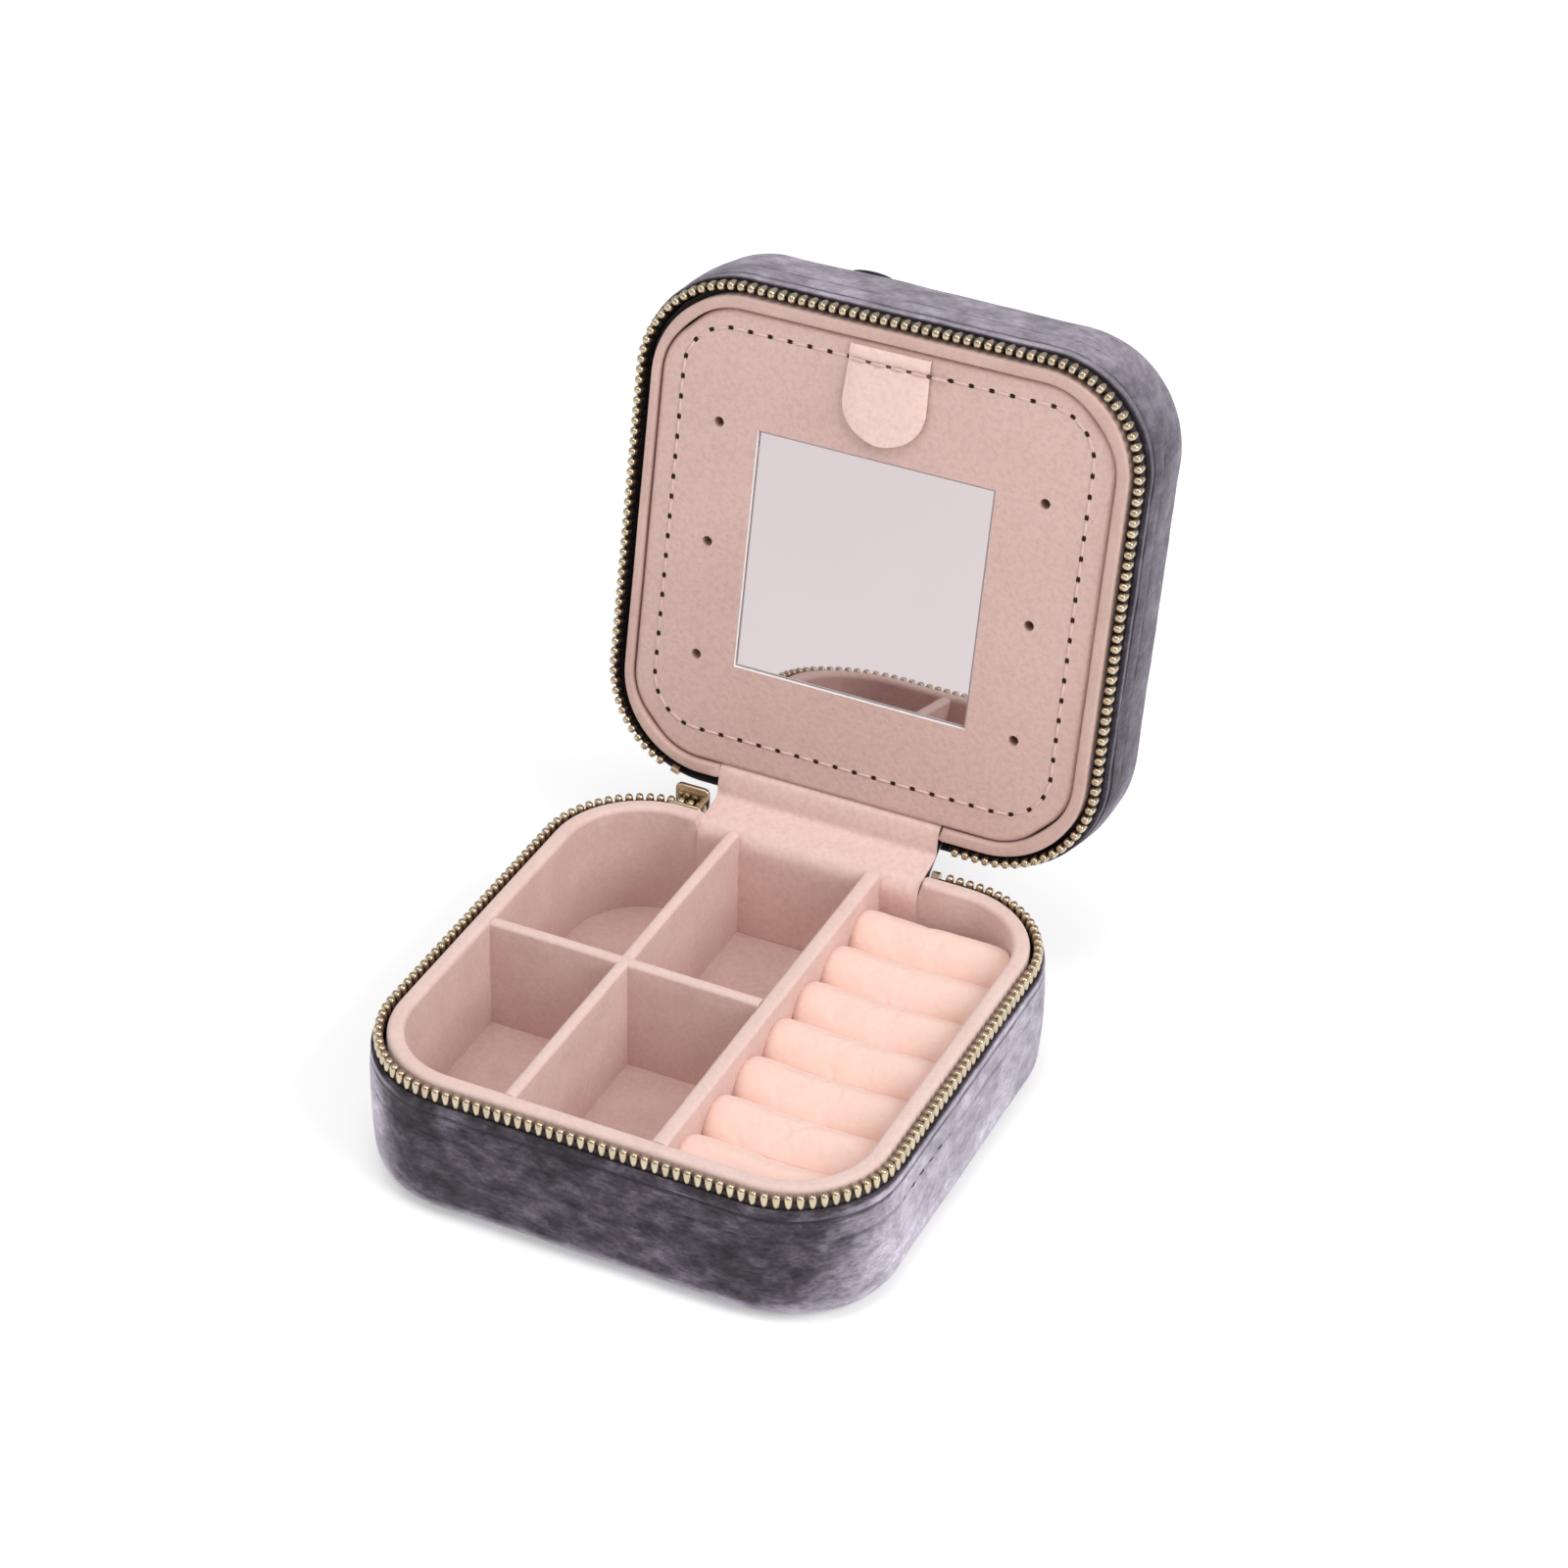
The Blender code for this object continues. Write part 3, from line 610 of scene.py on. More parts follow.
def build_seam(body, side):
    """Dark stitches along the seam of a cover, one capsule each."""
    bm = bmesh.new()
    height = PARTING + side * STITCH_LEVEL
    for i in range(int(OUTER.length / STITCH_RUN)):
        ends = []
        for run in (STITCH_RUN * i, STITCH_RUN * (i + 0.52)):
            point, normal = OUTER.at(run)
            ends.append(Vector((*(point - normal * 0.04), height)))
        capsule(bm, *ends, 0.14, Vector((*normal, 0.0)) * 0.08)
    add_piece(body + "_seam_thread", bm, body, "velvet", DARK_THREAD, 40.0)


def build_covers():
    for (body, depth, side), crown in zip(HALVES, (0.0, LID_CROWN)):
        build_cover(body, depth, side, crown)
    for body, _, side in HALVES:
        build_seam(body, side)


def capsule(bm, start, end, radius, lift):
    """A short stitch of thread between two points, arched by lift; added to bm."""
    steps, sides = 4, 6
    axis = (end - start).normalized()
    up = lift.normalized()
    across = axis.cross(up)
    rings = []
    for i in range(steps + 1):
        middle = start.lerp(end, i / steps) + lift * math.sin(math.pi * i / steps)
        girth = radius * (0.45 if i in (0, steps) else 1.0)
        rings.append([bm.verts.new(middle + (across * math.cos(a) + up * math.sin(a)) * girth)
                      for a in turns(sides)])
    join_rings(bm, rings)


# ------------------------ zip
CHAIN_OFFSET = 1.4
TOOTH_PITCH = 2.0
ZIP_LEFT = 27.6
ZIP_RIGHT = 22.9
LID_ZIP_LEFT = 35.4
TOOTH_SIDES = 10
# a tooth from its domed tip down to its foot: level, half width along the zip, half depth across it
TOOTH_RINGS = (
    (0.30, 0.22, 0.26),
    (0.36, 0.44, 0.50),
    (0.52, 0.63, 0.69),
    (0.82, 0.75, 0.82),
    (1.20, 0.79, 0.86),
    (1.70, 0.79, 0.88),
    (2.20, 0.76, 0.86),
    (2.65, 0.70, 0.81),
    (3.02, 0.58, 0.70),
    (3.26, 0.36, 0.48),
)


def add_tooth(bm, point, normal, side):
    """One tooth: a plump bead that clasps the tape, domed at the parting edge."""
    along = quarter(normal)
    rings = []
    for level, width, depth in TOOTH_RINGS:
        ring = []
        for angle in turns(TOOTH_SIDES, 0.5):
            c, s = (math.copysign(abs(v) ** 0.85, v) for v in (math.cos(angle), math.sin(angle)))
            spot = point + along * (width * c) + normal * (depth * s)
            ring.append(bm.verts.new((*spot, PARTING + side * level)))
        rings.append(ring)
    join_rings(bm, rings)


def build_zip(body, side, start, phase):
    """Separate metal teeth clasped on the corded edge of a black tape."""
    rim = Rim(CHAIN_OFFSET)
    teeth = bmesh.new()
    for i in range(int((rim.length - ZIP_RIGHT - start) / TOOTH_PITCH)):
        point, normal = rim.at(start + TOOTH_PITCH * (i + 0.5 + phase))
        add_tooth(teeth, point, normal, side)
    add_piece(body + "_teeth", teeth, body, "brass", BRASS, 50.0, body + "_zip_chain")

    frames = [OUTER.at(run) for run in OUTER.stations(start - 0.8, OUTER.length - ZIP_RIGHT + 0.8, 1.5)]
    cord = arc((CHAIN_OFFSET, 2.45), (0.52, 0.75), 0.0, 360.0, 10)[:-1]
    strip = [(0.85, 3.1), (1.95, 3.1), (2.05, 4.5), (2.05, 14.0), (1.35, 14.0), (1.25, 4.2)]
    for name, section, nodes in (("_tape_cord", cord, ()), ("_tape", strip, (body + "_zip_tape",))):
        bm = grid(carried(frames, section, side), close_rows=True, cap_columns=True)
        add_piece(body + name, bm, body, "tape", TAPE, 40.0, *nodes)


def build_zips():
    build_zip("base", BASE_SIDE, ZIP_LEFT, 0.0)
    build_zip("lid", LID_SIDE, LID_ZIP_LEFT, 0.5)
    for node in ("base_top_stop", "lid_top_stop", "zip_bottom_stop"):
        set_material(node, BRASS)


def set_material(node, material):
    mesh = frame["nodes"][node].data
    mesh.materials.clear()
    mesh.materials.append(material)


# ------------------------ linings
RIM_OUT = {"base": 2.9, "lid": 3.05}    # offset of the rim's outer edge, over the shell
RIM_LEVEL = 0.3
RIM_EDGE = {"base": 0.95, "lid": 0.5}
CORNER_GATHER = 0.45         # the lid's lining is gathered in at its corners, beside the panel's cut ones
LEFT_BARED = 0.85            # and its rim is drawn back on the left, where the tape shows


def lining_profile(body, depth):
    """A lined wall: a short fall towards the zip, a flat rim with soft edges, and the inner face."""
    outer, inner, edge = RIM_OUT[body], LINING_OFFSET[body], RIM_EDGE[body]
    profile = [(outer + 0.3, 6.0), (outer + 0.03, 3.4)]
    profile += arc((outer + edge, RIM_LEVEL + edge), (edge, edge), 180.0, 270.0, 6)
    profile += [((outer + inner) / 2.0, RIM_LEVEL - 0.03)]
    profile += arc((inner - edge, RIM_LEVEL + edge), (edge, edge), 270.0, 360.0, 6)
    foot = depth - 3.2
    return profile + line((inner, RIM_LEVEL + edge), (inner, foot), 7)[1:] + [(inner, foot)]


def build_linings():
    for body, depth, side in HALVES:

        def shape(point, normal, offset, level, side=side):
            wave = 0.10 * lumps(point.x, point.y, PARTING + side * level, 11.0, 2.0 + side)
            wave *= 0.4 if level < 2.0 else 1.0
            if side > 0 and offset > 5.0:
                wave += CORNER_GATHER * (2.0 * normal.x * normal.y) ** 4
            elif side > 0 and offset < 4.0:
                wave += LEFT_BARED * max(0.0, -normal.x)
            return wave

        rows = carried(outer_loop(1.5), lining_profile(body, depth), side, shape)
        bm = sink_rim(grid(rows, close_columns=True), side)
        lining = make_object(body + "_lining", bm, body, SUEDE if side < 0 else SHADED_LID_SUEDE, 60.0, (LIT_TOP_SUEDE,))
        if body == "base":
            # the rim's top takes the lighter copy of the suede: painted light
            for face in lining.data.polygons:
                face.material_index = 1 if face.center.z > (PARTING - 1.2) * MM else 0
        stand_for(lining, body, "suede", body + "_lining_wall")


def sink_rim(bm, side):
    """Where the hinge strip crosses it the rim is lower and slopes down inward."""
    for vert in bm.verts:
        if vert.co.y > 40.0 and HINGE_LEFT + 0.2 < vert.co.x < HINGE_RIGHT - 0.2:
            limit = PARTING + side * (1.55 + 1.9 * max(0.0, 46.4 - vert.co.y))
            vert.co.z = min(vert.co.z, limit) if side < 0 else max(vert.co.z, limit)
    return bm


def soft_slab(outline, low, high, edge, crown=0.0):
    """A padded plate: an outline of points with rounded upper edges and a slight crown."""
    centre = centre_of(outline)
    rows = [[(*point, low) for point in outline]]
    for inset, height in arc((edge, high - edge), (-edge, edge), 0.0, 90.0, 4):
        rows.append([(*drawn_in(point, centre, inset), height) for point in outline])
    for share in (0.75, 0.5, 0.25, 0.08):
        height = high + crown * (1.0 - share ** 2)
        rows.append([(*centre.lerp(Vector(point), share), height) for point in outline])
    return grid(rows, close_columns=True, cap_rows=True)


def slab_outline(body):
    """Outline of a floor that reaches a little into the lined wall of its body."""
    rim = Rim(LINING_OFFSET[body] - 0.45)
    return [tuple(rim.at(run)[0]) for run in rim.stations(0.0, rim.length, 3.0)[:-1]]


def build_floor():
    bm = soft_slab(slab_outline("base"), 2.9, 4.8, 0.15, crown=0.08)
    pad = add_piece("floor_lining", bm, "base", "suede", SUEDE, 40.0, "base_floor_pad")
    # the lid's lining is drawn upside down and turned over, so its soft side faces into the case
    top = PARTING + LID_DEPTH - 4.2
    bm = soft_slab(slab_outline("lid"), -top, 1.7 - top, 0.5)
    bm.transform(Matrix.Scale(-1.0, 4, (0.0, 0.0, 1.0)))
    back = add_piece("lid_back_cloth", bm, "lid", "suede", SUEDE, 40.0, "lid_back_lining")


# ------------------------ dividers
CLOTH_ROUND = 0.75           # rounding of a divider's top edges


def divider_rows(low, high, foot, top, half, seed):
    """Section rings of a cloth-wrapped board from low to high along X, centred on y = 0."""
    round_top = top - CLOTH_ROUND
    radii = (CLOTH_ROUND, CLOTH_ROUND)
    heights = [foot + (round_top - foot) * t for t in (0.0, 0.3, 0.6, 0.85)]
    section = [(-half, z) for z in heights]
    section += arc((CLOTH_ROUND - half, round_top), radii, 180.0, 90.0, 4)
    section += [(0.0, top + 0.06)] + arc((half - CLOTH_ROUND, round_top), radii, 90.0, 0.0, 4)
    section += [(half, z) for z in reversed(heights)]
    rows = []
    count = int((high - low) / 1.6)
    for i in range(count + 1):
        x = low + (high - low) * i / count
        rows.append([(x, y * (1.0 + 0.05 * lumps(x, y, z, 6.0, seed)),
                      z + 0.10 * lumps(x, 0.0, z, 14.0, seed)) for y, z in section])
    return rows


def build_divider(node, along_y, seed, low_reach, high_reach):
    """A wrapped board with painted light on its top, whose ends reach into the lining beside them."""
    low, high = box_mm(node)
    run, across = (1, 0) if along_y else (0, 1)
    half, middle = (high[across] - low[across]) / 2.0, (high[across] + low[across]) / 2.0
    rows = divider_rows(low[run] - low_reach, high[run] + high_reach, low.z - 0.5, high.z, half, seed)
    rows = [[(middle + y, x, z) if along_y else (x, middle + y, z) for x, y, z in row] for row in rows]
    bm = grid(rows, close_columns=True, cap_rows=True)
    divider = make_object(node + "_cloth", bm, "base", SUEDE, 60.0, (LIT_TOP_SUEDE,))
    # the upward faces take the lighter copy of the suede: painted light on the top
    for face in divider.data.polygons:
        face.material_index = 1 if face.normal.z > 0.5 else 0
    stand_for(divider, "base", "suede", node)


def build_dividers():
    build_divider("cross_divider", False, 1.0, 0.3, 0.3)
    build_divider("mid_divider", True, 2.0, 0.3, 0.9)
    build_divider("ring_divider", True, 3.0, 0.3, 0.9)
    set_material("ring_board", BOARD)


# ------------------------ ring rolls
def bay_reach(y):
    """How far right the ring bay goes at a y, inside its rounded corners."""
    rim = Rim(BAY_OFFSET - 0.15)
    beyond = abs(y) - rim.side / 2.0
    if beyond <= 0.0:
        return rim.half
    return rim.side / 2.0 + math.sqrt(max(0.0, rim.radius ** 2 - beyond ** 2))


def baked(obj):
    """The object's mesh with its modifiers applied; the modifiers are dropped."""
    depsgraph = bpy.context.evaluated_depsgraph_get()
    mesh = bpy.data.meshes.new_from_object(obj.evaluated_get(depsgraph))
    obj.modifiers.clear()
    old = obj.data
    obj.data = mesh
    bpy.data.meshes.remove(old)


SIM_SCALE = 12.5             # a roll is simulated at this many times its size
SIM_VOXEL = 0.0062
SIM_FRAMES = 20
SIM_MOVE = 0.6               # the furthest that a point may swell out
ROLLS = 7


def swell(bm, foot, limit):
    """Even out a closed cushion and blow it up as cloth held at its foot; a cushion in the same millimetres.

    limit keeps a point in its space: it gets the point before and after.
    """
    scale = SIM_SCALE * MM
    bmesh.ops.recalc_face_normals(bm, faces=bm.faces)
    bm.transform(Matrix.Scale(scale, 4))
    obj = add_object("cushion", mesh_from(bm, "cushion"))
    remesh = obj.modifiers.new("voxels", 'REMESH')
    remesh.mode = 'VOXEL'
    remesh.voxel_size = SIM_VOXEL
    baked(obj)
    before = [vert.co / scale for vert in obj.data.vertices]
    held = obj.vertex_groups.new(name="held")
    held.add([i for i, co in enumerate(before) if co.z < foot + 1.2], 1.0, 'REPLACE')
    cloth = obj.modifiers.new("cloth", 'CLOTH')
    cloth.settings.quality = 4
    cloth.settings.vertex_group_mass = "held"
    cloth.settings.use_pressure = True
    cloth.settings.uniform_pressure_force = 4.0
    cloth.settings.shrink_min = -0.02
    cloth.settings.effector_weights.gravity = 0.0
    cloth.point_cache.frame_start = 1
    cloth.point_cache.frame_end = SIM_FRAMES
    for number in range(1, SIM_FRAMES + 1):
        bpy.context.scene.frame_set(number)
    baked(obj)
    bpy.context.scene.frame_set(1)
    swollen = bmesh.new()
    swollen.from_mesh(obj.data)
    swollen.verts.ensure_lookup_table()
    for vert, start in zip(swollen.verts, before):
        vert.co = limit(start, vert.co / scale)
    bpy.data.objects.remove(obj, do_unlink=True)
    return swollen


def build_roll(index):
    """A foam roll wrapped in suede: rounded on top, upright sides, pinched a little at its ends."""
    node = "ring_roll_%d" % index
    low, high = box_mm(node)
    middle = (low.y + high.y) / 2.0
    reach_y = (high.y - low.y) / 2.0 + 0.10
    radius = reach_y - 0.22
    foot, top = low.z, high.z - 0.1
    section = [(-radius * 0.97, foot), (-radius, (foot + top - radius) / 2.0)]
    section += arc((0.0, top - radius), (radius, radius), 180.0, 0.0, 20)
    section += [(radius, (foot + top - radius) / 2.0), (radius * 0.97, foot)]
    start = low.x - 0.45
    rows = []
    steps = 26
    for i in range(steps + 1):
        # close spacing at both ends, where the edge turns over
        t = 0.5 - 0.5 * math.cos(math.pi * i / steps)
        edge = min(t, 1.0 - t) * 30.0
        pinch = 1.0 - 0.14 * math.exp(-edge * 1.6)
        row = []
        for y, z in section:
            spot = middle + y * pinch
            x = start + (bay_reach(spot) - 0.15 - start) * t
            lump = 0.15 * lumps(x, spot, z, 9.0, index * 1.7)
            rise = (z - foot) * (1.0 - 0.035 * math.exp(-edge * 0.9)) + (lump if z > foot + 5.0 else 0.0)
            row.append((x, spot, foot + rise))
        rows.append(row)

    def limit(before, after):
        move = after - before
        if move.length > SIM_MOVE:
            after = before + move * (SIM_MOVE / move.length)
        after.y = min(max(after.y, middle - reach_y), middle + reach_y)
        after.x = min(max(after.x, start), bay_reach(after.y))
        after.z = min(max(after.z, foot), high.z + 0.35)
        return after

    bm = swell(grid(rows, close_columns=True, cap_rows=True), foot, limit)
    roll = make_object("ring_pad_%d" % index, bm, "base", ROLL_SUEDE, 60.0)
    smooth = roll.modifiers.new("smooth", 'SUBSURF')
    smooth.levels = smooth.render_levels = 1
    stand_for(roll, "base", "roll_suede", node)


# ------------------------ flip panel
PANEL_HALF = 44.3
PANEL_CUT = 9.8
PANEL_ROUND = 12.0
PANEL_FACE = 1.1
PANEL_BACK = 4.5
PANEL_EDGE = 1.0
MIRROR_SIZE = 46.4
MIRROR_X, MIRROR_Y = -0.8, 0.7
EARRING_X = 32.0
EARRING_Y = (-22.4, 1.0, 23.6)
EARRING_RADIUS = 1.0
STITCH_X = 40.0
STITCH_TOP = -40.6
STITCH_BOTTOM = 38.4
STITCH_CORNER = 9.5
STITCH_PITCH = 3.9
TAB_X = -0.1
TAB_HALF = 7.85
TAB_ROOT = -43.3
TAB_END = -25.8
TAB_FOLD = -40.6
TAB_THICK = 0.5


def panel_frames():
    """Frames round the panel: a square whose corners are cut, with rounded bends."""
    steps = 8
    half_bend = math.pi / 8.0
    straight = PANEL_HALF - PANEL_CUT - PANEL_ROUND * math.tan(half_bend)
    frames = []
    for side in range(4):
        for centre, first in (((-straight, PANEL_HALF - PANEL_ROUND), 0.0),
                              ((PANEL_ROUND - PANEL_HALF, straight), 2.0 * half_bend)):
            for i in range(steps + 1):
                angle = first + 2.0 * half_bend * i / steps
                normal = Vector((-math.sin(angle), math.cos(angle)))
                point = Vector(centre) + normal * PANEL_ROUND
                for _ in range(side):
                    point, normal = quarter(point), quarter(normal)
                frames.append((point, normal))
    return frames


def panel_stitches():
    """Needle holes round the panel, evenly spaced on a rounded oblong: places and directions."""
    half_x = STITCH_X - STITCH_CORNER
    half_y = (STITCH_BOTTOM - STITCH_TOP) / 2.0 - STITCH_CORNER
    middle = (STITCH_TOP + STITCH_BOTTOM) / 2.0
    bend = STITCH_CORNER * math.pi / 2.0
    total = 4.0 * (half_x + half_y + bend)
    count = int(round(total / STITCH_PITCH))
    # each leg is a straight run and then a bend round its centre
    legs = ((2.0 * half_x, (-half_x, half_y), 90.0), (2.0 * half_y, (-half_x, -half_y), 180.0),
            (2.0 * half_x, (half_x, -half_y), 270.0), (2.0 * half_y, (half_x, half_y), 0.0))
    places = []
    for i in range(count):
        run = total * (i + 0.25) / count
        for straight, centre, first in legs:
            if run <= straight + bend:
                break
            run -= straight + bend
        angle = math.radians(first) + max(0.0, run - straight) / STITCH_CORNER
        out = Vector((math.cos(angle), math.sin(angle)))
        along = quarter(out)
        spot = Vector(centre) + out * STITCH_CORNER + along * min(0.0, run - straight)
        places.append((Vector((spot.x, spot.y + middle)), along))
    return places


def add_prism(bm, points, low, high, taper=1.0):
    """A polygon of (x, y) points carried from low to high, its far end scaled by taper."""
    centre = centre_of(points)
    join_rings(bm, [[bm.verts.new((*centre.lerp(Vector(point), scale), height)) for point in points]
                    for height, scale in ((low, 1.0), (high, taper))])


def cut(obj, bm, material):
    """Cut a mesh out of obj for good; the cut faces take the material."""
    cutter = make_object("cutter", bm, "panel", material)
    mod = obj.modifiers.new("cut", 'BOOLEAN')
    mod.object = cutter
    mod.operation = 'DIFFERENCE'
    mod.solver = 'EXACT'
    mod.material_mode = 'TRANSFER'
    baked(obj)
    bpy.data.objects.remove(cutter, do_unlink=True)


def oval(centre, along, long_radius, short_radius, sides):
    across = quarter(along)
    return [Vector(centre) + along * (long_radius * math.cos(a)) + across * (short_radius * math.sin(a))
            for a in turns(sides)]


def mirror_corners(half):
    return [(MIRROR_X + sx * half, MIRROR_Y + sy * half) for sx, sy in ((-1, -1), (1, -1), (1, 1), (-1, 1))]


def build_panel():
    """Leatherette over board, with a let-in mirror, earring holes, needle holes and thread."""
    profile = [(2.2, PANEL_FACE), (1.5, PANEL_FACE)]
    profile += arc((PANEL_EDGE, PANEL_FACE + PANEL_EDGE), (PANEL_EDGE, PANEL_EDGE), 270.0, 180.0, 8)
    profile += [(inset, PANEL_BACK - rise) for inset, rise in ((0.0, 0.8), (0.1, 0.4), (0.4, 0.1), (0.9, 0.0),
                                                               (1.6, 0.0))]
    bm = grid(carried(panel_frames(), profile, LID_SIDE), close_columns=True, cap_rows=True)
    face = make_object("panel_front", bm, "panel", PANEL_SKIN, 35.0, (HOLE_SHADE, EARRING_HOLE, LEDGE))

    front = PARTING + PANEL_FACE
    window, holes, needle = bmesh.new(), bmesh.new(), bmesh.new()
    add_prism(window, mirror_corners(MIRROR_SIZE / 2.0 + 0.15), front - 1.0, PARTING + 2.75)
    for x in (-EARRING_X, EARRING_X):
        for y in EARRING_Y:
            ring = oval((x, y), Vector((1.0, 0.0)), EARRING_RADIUS, EARRING_RADIUS, 20)
            add_prism(holes, ring, front - 1.0, PARTING + PANEL_BACK + 1.0)
    stitches = panel_stitches()
    for place, along in stitches:
        if not on_tab(place):
            add_prism(needle, oval(place, along, 0.74, 0.46, 12), front - 0.3, front + 0.6, 0.85)
    # the needle holes' cut walls take painted shade
    for cutter, material in ((window, LEDGE), (holes, EARRING_HOLE), (needle, HOLE_SHADE)):
        cut(face, cutter, material)
    face.data.shade_smooth()
    face.data.set_sharp_from_angle(angle=math.radians(35.0))
    stand_for(face, "panel", "panel_leatherette", "panel_face", "panel_board", "panel_back")

    thread = bmesh.new()
    for (first, along), (second, end_along) in zip(stitches, stitches[1:] + stitches[:1]):
        level = front - 0.72 if on_tab(first) or on_tab(second) else front + 0.08
        start, end = first + along * 0.5, second - end_along * 0.5
        capsule(thread, Vector((*start, level)), Vector((*end, level)), 0.27, Vector((0.0, 0.0, -0.06)))
    add_piece("panel_thread", thread, "panel", "panel_leatherette", THREAD, 60.0)

    build_mirror()
    set_material("panel_tape", STRIP_SKIN)


def on_tab(place):
    """Whether a stitch goes through the root of the pull tab."""
    return place.y < STITCH_TOP + 0.5 and abs(place.x - TAB_X) < TAB_HALF


def build_mirror():
    """Silvered glass with a ground edge."""
    level = PARTING + 1.7
    rows = [[(x, y, level + height) for x, y in mirror_corners(MIRROR_SIZE / 2.0 - inset)]
            for inset, height in ((0.0, 0.9), (0.0, 0.2), (0.35, 0.0))]
    bm = grid(rows, close_columns=True, cap_rows=True)
    add_piece("mirror_plate", bm, "panel", "mirror", MIRROR, 10.0, "mirror")


# ------------------------ pull tab
def tab_stations():
    """Places along the tab, close together on its round end."""
    round_y = TAB_END - TAB_HALF
    bend = TAB_FOLD + 1.0
    stations = [y for y, _ in line((TAB_ROOT, 0.0), (bend, 0.0), 14) + line((bend, 0.0), (round_y, 0.0), 12)]
    return stations + [round_y + TAB_HALF * math.sin(math.pi / 2.0 * i / 14) for i in range(15)]


def tab_ring(y):
    """One section of the tab: its near side from left to right, and back along its far side."""
    free = max(0.0, (y - TAB_FOLD) / (TAB_END - TAB_FOLD))
    into_round = max(0.0, (y - TAB_END) / TAB_HALF + 1.0)
    half = (TAB_HALF + 0.4 * min(1.0, 1.5 * free)) * math.sqrt(max(0.0, 1.0 - into_round ** 2))
    half = max(half, 0.35)
    root = max(0.0, (TAB_ROOT + 0.5 - y) / 0.5)
    level = PARTING + PANEL_FACE - 0.2 - TAB_THICK - free ** 1.6 + 0.22 * root ** 2
    level -= 0.14 * bell(y - (TAB_FOLD + TAB_ROOT) / 2.0, 0.8)
    dip = 0.24 * bell(y - TAB_FOLD, 0.45)
    near, far = [], []
    for j in range(17):
        u = -1.0 + 2.0 * j / 16
        edge = 0.20 * abs(u) ** 14
        near.append((TAB_X + half * u, y, level + dip + edge))
        far.append((TAB_X + half * u, y, level + TAB_THICK - edge))
    return near + far[::-1]


def build_tab():
    """A leatherette tab sewn down by its root near the panel's top edge, with a round free end."""
    bm = grid([tab_ring(y) for y in tab_stations()], close_columns=True, cap_rows=True)
    tab = make_object("tab_flap", bm, "panel", TAB_SKIN, 50.0)
    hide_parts("pull_tab", "tab_anchor")
    start, end = (world((TAB_X, TAB_FOLD + beyond, PARTING + 0.6), "lid") for beyond in (-0.3, 1.4))
    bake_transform(tab)
    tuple(start)
    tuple(end)
    # dark ovals that peep through the tab at its sewn root: painted shade of needle holes
    holes = bmesh.new()
    front = PARTING + PANEL_FACE - 0.2 - TAB_THICK
    for place, along in panel_stitches():
        if on_tab(place):
            add_prism(holes, oval(place, along, 0.62, 0.38, 12), front + 0.14, front + 0.4, 0.8)
    add_piece("tab_needle_hole_shade", holes, "panel", "tab_leatherette", HOLE_SHADE, 40.0)


# ------------------------ hinge strips
def shut_to_open(y, level):
    """A point of the shut lid (y, level above the parting plane) as (y, z) in the open pose, in mm."""
    spot = world((0.0, y, PARTING + level), "lid") / MM
    return (spot.y, spot.z)


def smooth_path(points, spacing):
    """A rounded path through points, resampled evenly (Catmull-Rom)."""
    pts = [Vector(p) for p in points]
    pts = [2 * pts[0] - pts[1]] + pts + [2 * pts[-1] - pts[-2]]
    dense = []
    for i in range(1, len(pts) - 2):
        a, b, c, d = pts[i - 1:i + 3]
        for k in range(20):
            t = k / 20.0
            dense.append(0.5 * ((2 * b) + (c - a) * t + (2 * a - 5 * b + 4 * c - d) * t ** 2
                                + (3 * b - a - 3 * c + d) * t ** 3))
    dense.append(pts[-2])
    runs = [0.0]
    for p, q in zip(dense, dense[1:]):
        runs.append(runs[-1] + (q - p).length)
    count = int(runs[-1] / spacing)
    result, j = [], 0
    for i in range(count + 1):
        run = runs[-1] * i / count
        while j < len(runs) - 2 and runs[j + 1] < run:
            j += 1
        t = (run - runs[j]) / max(1e-9, runs[j + 1] - runs[j])
        result.append(dense[j].lerp(dense[j + 1], t))
    return result


def strip_mesh(path, thick, seed, wobble):
    """A strip of cloth with thickness that follows a path of (y, z)."""
    columns = 24
    rows = []
    for i, spot in enumerate(path):
        normal = quarter((path[min(len(path) - 1, i + 1)] - path[max(0, i - 1)]).normalized())
        row = []
        for side, order in ((0.5, range(columns + 1)), (-0.5, range(columns, -1, -1))):
            for j in order:
                x = HINGE_LEFT + (HINGE_RIGHT - HINGE_LEFT) * j / columns
                edge = 1.0 - 0.5 * (abs(2.0 * j / columns - 1.0) ** 16)
                off = side * thick * edge + wobble * lumps(x, spot.x, spot.y, 9.0, seed)
                row.append((x, *(spot + normal * off)))
        rows.append(row)
    return grid(rows, close_columns=True, cap_rows=True)


def build_strip(name, path, thick, seed, wobble, material, nodes):
    """One strip that bends from the base to the lid and stands for both its leaves."""
    strip = make_object(name, strip_mesh(smooth_path(path, 0.7), thick, seed, wobble), "base", material, 60.0)
    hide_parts(*nodes)
    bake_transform(strip)


